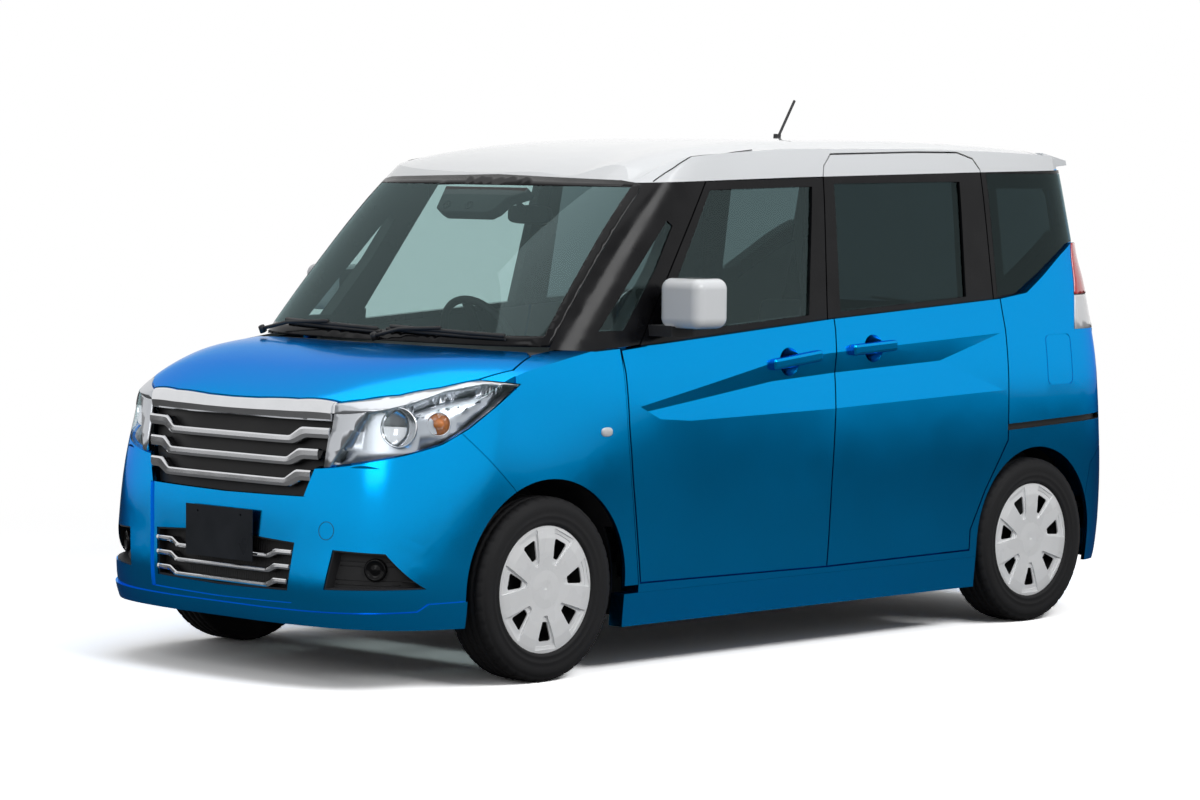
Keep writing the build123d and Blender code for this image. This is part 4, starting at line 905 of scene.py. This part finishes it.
# rows of (x, distance from the middle)
ROOF_SEAM = ((0.0, 0.602), (0.100, 0.613), (0.200, 0.634), (0.298, 0.652), (0.380, 0.659),
             (0.452, 0.658), (0.503, 0.653), (0.545, 0.648))
SEAM_STEPS = 45
RIBS, RIB_FOOT, RIB_PITCH = 7, 0.338, 0.0145
RIB_POINTS, RIB_START, RIB_STEP, RIB_END, RIB_JUMP = 24, 0.488, 0.0105, 0.735, 0.012
FOG_CAP_Y, FOG_CAP_Z = 0.606, 0.386
FOG_CAP = ((0.0, 0.0), (0.0, 0.036), (0.016, 0.036), (0.019, 0.033), (0.019, 0.028),
           (0.013, 0.026), (0.013, 0.012), (0.016, 0.009), (0.016, 0.0))
WIRES, WIRE_START, WIRE_PITCH = 58, -0.315, 0.0110
WIRE_POINTS, WIRE_FOOT, WIRE_STEP = 76, 0.312, 0.0021
WIRE_JUMP, WIRE_RISE, BAR_GAP = 0.006, 0.004, 0.002
BORDER_TOP, BORDER_FOOT = 1.576, 1.098
PILLAR_FOOT, PILLAR_TOP = (0.664, 1.07), (0.606, 1.60)
# side, pivot and points of the carrier along the blade
WIPERS = (("right", (1.188, -0.560, 1.080),
           ((1.130, -0.500, 1.112), (1.148, -0.380, 1.110), (1.160, -0.250, 1.107),
            (1.167, -0.120, 1.104), (1.169, 0.000, 1.101))),
          ("left", (1.192, 0.010, 1.078),
           ((1.161, 0.060, 1.110), (1.163, 0.190, 1.107), (1.160, 0.300, 1.105),
            (1.152, 0.430, 1.101), (1.127, 0.560, 1.098))))
WIPER_FOOT = ((-0.012, 0.0), (-0.012, 0.013), (0.010, 0.011), (0.014, 0.0))
HOUSING_OUTLINE = ((-0.200, 0.052), (-0.186, -0.044), (-0.150, -0.058), (0.070, -0.058),
                   (0.100, -0.040), (0.125, 0.004), (0.200, 0.030), (0.200, 0.052))
EYE = ((-0.004, 0.0), (-0.004, 0.017), (0.003, 0.017), (0.003, 0.013), (-0.001, 0.011),
       (0.0005, 0.0))
MIRROR_STALK = ((0.540, 0.060, 1.480), (0.575, 0.045, 1.525), (0.615, 0.030, 1.560))
# name, lowest and highest height, look
TAIL_BANDS = (("stop_lens", 1.184, 1.40, "tail_lens"), ("turn_lens", 1.00, 1.180, "clear_lens"))


def tow_cover_seam_shade():
    """Thin black ring along the seam of the round cover over the towing eye, in the bumper's
    left: painted shade of the seam's gap.
    """
    bumper = tree_of("front_bumper")
    ring = []
    for i in range(40):
        turn = 2 * pi * i / 40
        y, z = TOW_Y + TOW_RADIUS * cos(turn), TOW_Z + TOW_RADIUS * sin(turn)
        ring.append((front_x(bumper, y, z), y, z))
    # the black ring is painted shade standing in for the dark inside the seam's gap
    piece("tow_cover_seam_shade", tube(ring, 0.0011, 6, closed=True))


def side_repeater(side, word):
    """Domed oval lamp on a fender."""
    fender = tree_of(f"front_fender_{word}")
    hit = fender.ray_cast(Vector((REPEATER_X, side * 2, REPEATER_Z)), Vector((0, -side, 0)))
    place, way = hit[0], hit[1]
    bm = bmesh.new()
    rings = [[bm.verts.new(place + way * out + Vector((a * share, 0, b * share)))
              for a, b in oval(0.026, 0.0155, 2.4)] for out, share in REPEATER_ROWS]
    for low, high in zip(rings, rings[1:]):
        ring_faces(bm, low, high)
    bmesh.ops.remove_doubles(bm, verts=bm.verts, dist=1e-6)
    bmesh.ops.recalc_face_normals(bm, faces=bm.faces)
    piece(f"side_repeater_{word}", bm, "clear_lens")


def roof_seam(roof, side, word):
    """Seam between the roof's centre and its side rail, from the windscreen's corner."""
    seam = []
    for k in range(SEAM_STEPS + 1):
        x = ROOF_SEAM[-1][0] * (1 - k / SEAM_STEPS)
        hit = roof.ray_cast(Vector((x, side * along(ROOF_SEAM, x), 3)), Vector((0, 0, -1)))
        if hit[0]:
            seam.append(hit[0])
    piece(f"roof_seam_{word}", tube(seam, 0.0022, 8), "dark_trim")


def fog_ribs(fog):
    """Level ribs across the faces of both fog lamp recesses."""
    ribs = []
    for side, _ in SIDES:
        for k in range(RIBS):
            z = RIB_FOOT + RIB_PITCH * k
            run = []
            for i in range(RIB_POINTS):
                y = side * (RIB_START + RIB_STEP * i)
                x = front_x(fog, y, z)
                if x and abs(y) < RIB_END and (not run or abs(x - run[-1][0]) < RIB_JUMP):
                    run.append((x, y, z))
            if len(run) > 3:
                ribs.append(tube(run, 0.0022, 6))
    piece("fog_recess_ribs", merged(ribs))


def fog_cap(fog, side, word):
    """Round lamp cap in a fog lamp recess."""
    y = side * FOG_CAP_Y
    foot = (front_x(fog, y, FOG_CAP_Z) - 0.006, y, FOG_CAP_Z)
    piece(f"fog_cap_{word}", spun(FOG_CAP, foot, (0.85, 0.52 * side, 0.02)), "dark_trim")


def in_lower_bar(y, z):
    """Whether a place seen from the front is on one of the lower grille's bars."""
    bottom, top = bar_edges(y, *LOWER_BAR)
    return any(bottom - BAR_GAP <= z - bar <= top + BAR_GAP for bar in LOWER_BARS)


def lower_net(grille):
    """Upright wires behind the lower grille's bars, cut wherever the surface jumps."""
    net = []
    for k in range(WIRES):
        y = WIRE_START + WIRE_PITCH * k
        stretches = [[]]
        for i in range(WIRE_POINTS):
            z = WIRE_FOOT + WIRE_STEP * i
            x = front_x(grille, y, z)
            if not x or in_lower_bar(y, z):
                continue
            last = stretches[-1]
            if last and (abs(x - last[-1][0]) >= WIRE_JUMP or z - last[-1][2] >= WIRE_RISE):
                stretches.append([])
            stretches[-1].append((x, y, z))
        net += [tube(stretch, 0.0011, 4) for stretch in stretches if len(stretch) > 1]
    piece("lower_grille_net", merged(net))


def windscreen_border():
    """Black border printed round the windscreen, up to its pillars' slanted edges."""
    skin = shell_faces("windscreen", lambda c, n: n.x > 0.3 and n.z > 0.1)
    split_level(skin, BORDER_TOP)
    split_level(skin, BORDER_FOOT)
    for side, _ in SIDES:
        split_slanted(skin, side, PILLAR_FOOT, PILLAR_TOP)
    border = kept(skin, lambda c: not BORDER_FOOT < c.z < BORDER_TOP
                  or abs(c.y) > slanted_y(PILLAR_FOOT, PILLAR_TOP, c.z))
    skin.free()
    piece("windscreen_border", thickened(border, 0.0004, 0.0008), "dark_trim")


def wiper_arm(word, pivot, blade):
    """Foot and arm of a front wiper, and the carrier along its blade."""
    hold = Vector(blade[2]) + Vector((0.004, 0.0, 0.010))
    bend = Vector(pivot).lerp(hold, 0.4) + Vector((0.004, 0, 0.012))
    parts = [tube(blade, 0.0075, 10), tube([pivot, bend, hold], 0.0065, 10),
             spun(WIPER_FOOT, pivot, (0.5, 0, 0.86), 24)]
    piece(f"wiper_arm_{word}", merged(parts))


def camera_housing():
    """Housing with two camera eyes, against the windscreen's top."""
    housing = slab(HOUSING_OUTLINE, 0.045, (0.705, 0.0, 1.530), (0, 1, 0), (-0.62, 0, 0.78),
                   0.005)
    piece("camera_housing", housing)
    for y, word in ((-0.030, "left"), (-0.140, "right")):
        piece(f"camera_eye_{word}", spun(EYE, (0.7236, y, 1.5066), (0.78, 0, 0.62), 32),
              "dark_trim")


def inside_mirror():
    """Inside mirror on its stalk."""
    shell = slab(oval(0.112, 0.032, 4.0), 0.026, (0.545, 0.068, 1.476), (0.12, 1, 0),
                 (-0.05, 0, 1), 0.006)
    stalk = tube(MIRROR_STALK, 0.010, 12)
    piece("inside_mirror", merged([shell, stalk]))


def door_mirror_looks(name):
    """Black foot and silvered glass of a door mirror."""
    low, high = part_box(name)
    near, foot = min(abs(low[1]), abs(high[1])), low[2]
    second_look(name, "plain_plastic",
                lambda c, n: abs(c.y) < near + 0.045 or c.z < foot + 0.028)
    second_look(name, "mirror",
                lambda c, n: n.x < -0.9 and abs(c.y) > near + 0.06 and c.z > foot + 0.04)


def tail_lamp(side, word):
    """Red lens above a clear one, each a band of the lamp's own skin."""
    skin = shell_faces("tail_lamps", lambda c, n: c.y * side > 0
                       and (n.x < -0.25 or n.y * side > 0.25))
    for _, low, high, _ in TAIL_BANDS:
        split_level(skin, low)
        split_level(skin, high)
    for title, low, high, look in TAIL_BANDS:
        band = kept(skin, lambda c: low < c.z < high)
        piece(f"{title}_{word}", thickened(band, 0.002, 0.0025), look)
    skin.free()


# black ring of painted shade along the tow cover's seam
tow_cover_seam_shade()
for side, word in SIDES:
    side_repeater(side, word)
roof = tree_of("roof")
for side, word in SIDES:
    roof_seam(roof, side, word)
fog = tree_of("fog_lamps")
fog_ribs(fog)
for side, word in SIDES:
    fog_cap(fog, side, word)
lower_net(lower)
windscreen_border()
for wiper in WIPERS:
    wiper_arm(*wiper)
camera_housing()
inside_mirror()
for side, word in SIDES:
    door_mirror_looks(f"door_mirror_{word}")
    tail_lamp(side, word)


# ---- body-coloured corners below the tail lamps, from the tailgate to the body sides ----
CORNER_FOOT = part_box("rear_bumper")[1][2] + 0.002
CORNER_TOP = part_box("tail_lamps")[0][2] - 0.002
LEVELS = (0.03, 0.35, 0.66, 0.97)
GATE_BACK, SIDE_END = -1.70, -1.745
GATE_SPAN, SIDE_SPAN = (0.60, 0.72), (0.70, 0.80)
NEAR, FAR = 0.010, 0.040
OVERLAP, PULL, SIDE_BEND = 0.005, 0.36, 0.85
CORNER_ROWS, CORNER_STEPS = 24, 16


def corner_height(share):
    """Height of a share of the way up the corner."""
    return CORNER_FOOT + (CORNER_TOP - CORNER_FOOT) * share


def corner_level(gate, flank, share):
    """Height, and there the tailgate's end (y, x) and slope and the body side's end and slope."""
    z = corner_height(share)
    gate_y = edge_between(*GATE_SPAN, lambda y: back_x(gate, y, z) < GATE_BACK)
    gate_x = back_x(gate, gate_y - NEAR, z)
    gate_slope = (gate_x - back_x(gate, gate_y - FAR, z)) / (FAR - NEAR)
    side_y = edge_between(*SIDE_SPAN, lambda y: back_x(flank, y, z) < SIDE_END + 0.0005)
    side_slope = (back_x(flank, side_y + NEAR, z) - SIDE_END) / NEAR
    return z, gate_y, gate_x + gate_slope * NEAR, gate_slope, side_y, side_slope


def corner_row(levels, z):
    """Curve at one height that leaves the tailgate and meets the body side in line."""
    gate_y, gate_x, gate_slope, side_y, side_slope = (
        along([(level[0], level[j]) for level in levels], z) for j in range(1, 6))
    leave = Vector((1, gate_slope)).normalized()
    arrive = Vector((1, side_slope * SIDE_BEND)).normalized()
    first = Vector((gate_y, gate_x)) + leave * OVERLAP
    last = Vector((side_y, SIDE_END))
    pull = (last - first).length * PULL
    row = []
    for i in range(CORNER_STEPS + 1):
        t = i / CORNER_STEPS
        spot = (first * (1 - t) ** 3 + (first + leave * pull) * 3 * t * (1 - t) ** 2
                + (last - arrive * pull) * 3 * t * t * (1 - t) + last * t ** 3)
        row.append((spot.y, spot.x, z))
    return row


def rear_corner(grid, side, word):
    """Curved panel of one corner, from its rows of points on the left side."""
    bm = bmesh.new()
    rows = [[bm.verts.new(on_side(point, side)) for point in row] for row in grid]
    for low, high in zip(rows, rows[1:]):
        for i in range(CORNER_STEPS):
            corners = (low[i], low[i + 1], high[i + 1], high[i])
            bm.faces.new(corners[::-1] if side > 0 else corners)
    piece(f"rear_corner_{word}", thickened(bm, 0.012), "body_paint")


gate, flank = tree_of("tailgate"), tree_of("body_side_left")
levels = [corner_level(gate, flank, share) for share in LEVELS]
grid = [corner_row(levels, corner_height(k / CORNER_ROWS)) for k in range(CORNER_ROWS + 1)]
for side, word in SIDES:
    rear_corner(grid, side, word)


# ---- stage, light and camera ----
AMBIENT = 0.25
FLOOR_GREY, FLOOR_SHOWN = 0.25, 2.5
FADE_START, FADE_END = 2.4, 5.5
WHITE = (1, 1, 1, 1)
LENS, SENSOR, SHIFT_Y, CLIP_END = 117.82, 36.0, 0.0169, 1000.0
CAMERA_PLACE = (9.9244, 9.6278, 1.7048)
AZIMUTH, ELEVATION, ROLL = 0.77588, 0.06929, 0.00908


def ray_kinds(tree, *kinds):
    """1 for rays of the named kinds, and 0 for the rest."""
    path = tree.nodes.new("ShaderNodeLightPath")
    total = path.outputs[kinds[0]]
    for kind in kinds[1:]:
        total = combined(tree, "MAXIMUM", total, path.outputs[kind])
    return total


def floor_material():
    """Grey floor that looks white to the camera and fades into the white studio."""
    material, tree = bare_material("floor_white")
    shader = tree.nodes.new("ShaderNodeBsdfDiffuse")
    tone = mapped(tree, ray_kinds(tree, "Is Camera Ray"), 0, 1, FLOOR_GREY, FLOOR_SHOWN)
    tree.links.new(tone.outputs["Result"], shader.inputs["Color"])
    white = tree.nodes.new("ShaderNodeEmission")
    place = tree.nodes.new("ShaderNodeTexCoord")
    reach = tree.nodes.new("ShaderNodeVectorMath")
    reach.operation = "LENGTH"
    tree.links.new(place.outputs["Object"], reach.inputs[0])
    fade = mapped(tree, reach.outputs["Value"], FADE_START, FADE_END, 0, 1)
    fade.interpolation_type = "SMOOTHSTEP"
    share = combined(tree, "MULTIPLY", fade.outputs["Result"],
                     ray_kinds(tree, "Is Camera Ray", "Is Transmission Ray"))
    mixed(tree, share, shader.outputs["BSDF"], white.outputs["Emission"])
    return material


def build_stage():
    """Floor, and a studio that looks white and lights the vehicle softly."""
    bpy.ops.mesh.primitive_plane_add(size=60)
    floor = bpy.context.object
    floor.name = "floor"
    floor.data.materials.append(floor_material())
    world = bpy.data.worlds.new("studio")
    scene.world = world
    world.use_nodes = True
    tree = world.node_tree
    ambient = tree.nodes["Background"]
    ambient.inputs["Color"].default_value = WHITE
    ambient.inputs["Strength"].default_value = AMBIENT
    backdrop = tree.nodes.new("ShaderNodeBackground")
    backdrop.inputs["Color"].default_value = WHITE
    backdrop.inputs["Strength"].default_value = 1.0
    shown = ray_kinds(tree, "Is Camera Ray", "Is Glossy Ray", "Is Transmission Ray")
    mixed(tree, shown, ambient.outputs["Background"], backdrop.outputs["Background"],
          "World Output")


def soft_light(name, place, target, size, power):
    """Rectangular soft light aimed at a point."""
    data = bpy.data.lights.new(name, "AREA")
    data.shape = "RECTANGLE"
    data.size, data.size_y = size
    data.energy = power
    lamp = bpy.data.objects.new(name, data)
    scene.collection.objects.link(lamp)
    lamp.location = place
    lamp.rotation_euler = (Vector(target) - Vector(place)).to_track_quat("-Z", "Y").to_euler()


def place_camera():
    """Camera in front on the left, a little above the ground, tilted by its roll."""
    data = bpy.data.cameras.new("camera")
    camera = bpy.data.objects.new("camera", data)
    scene.collection.objects.link(camera)
    scene.camera = camera
    data.lens = LENS
    data.sensor_width = SENSOR
    data.shift_y = SHIFT_Y
    data.clip_end = CLIP_END
    level = cos(ELEVATION)
    ahead = Vector((-level * cos(AZIMUTH), -level * sin(AZIMUTH), -sin(ELEVATION)))
    right = ahead.cross(Vector((0, 0, 1))).normalized()
    upward = right.cross(ahead)
    tilted = cos(ROLL) * right + sin(ROLL) * upward
    crown = -sin(ROLL) * right + cos(ROLL) * upward
    turn = Matrix((tilted, crown, -ahead)).transposed()
    camera.matrix_world = Matrix.Translation(CAMERA_PLACE) @ turn.to_4x4()


build_stage()
soft_light("top_light", (0.3, 0.4, 5.0), (0, 0, 0.8), (6, 4), 80)
soft_light("side_light", (0.0, 5.5, 4.6), (0, 0.8, 0.9), (5, 1.6), 210)
soft_light("front_light", (6.5, 2.0, 3.4), (0, 0, 0.8), (2, 3), 50)
place_camera()
scene.view_settings.view_transform = "Standard"
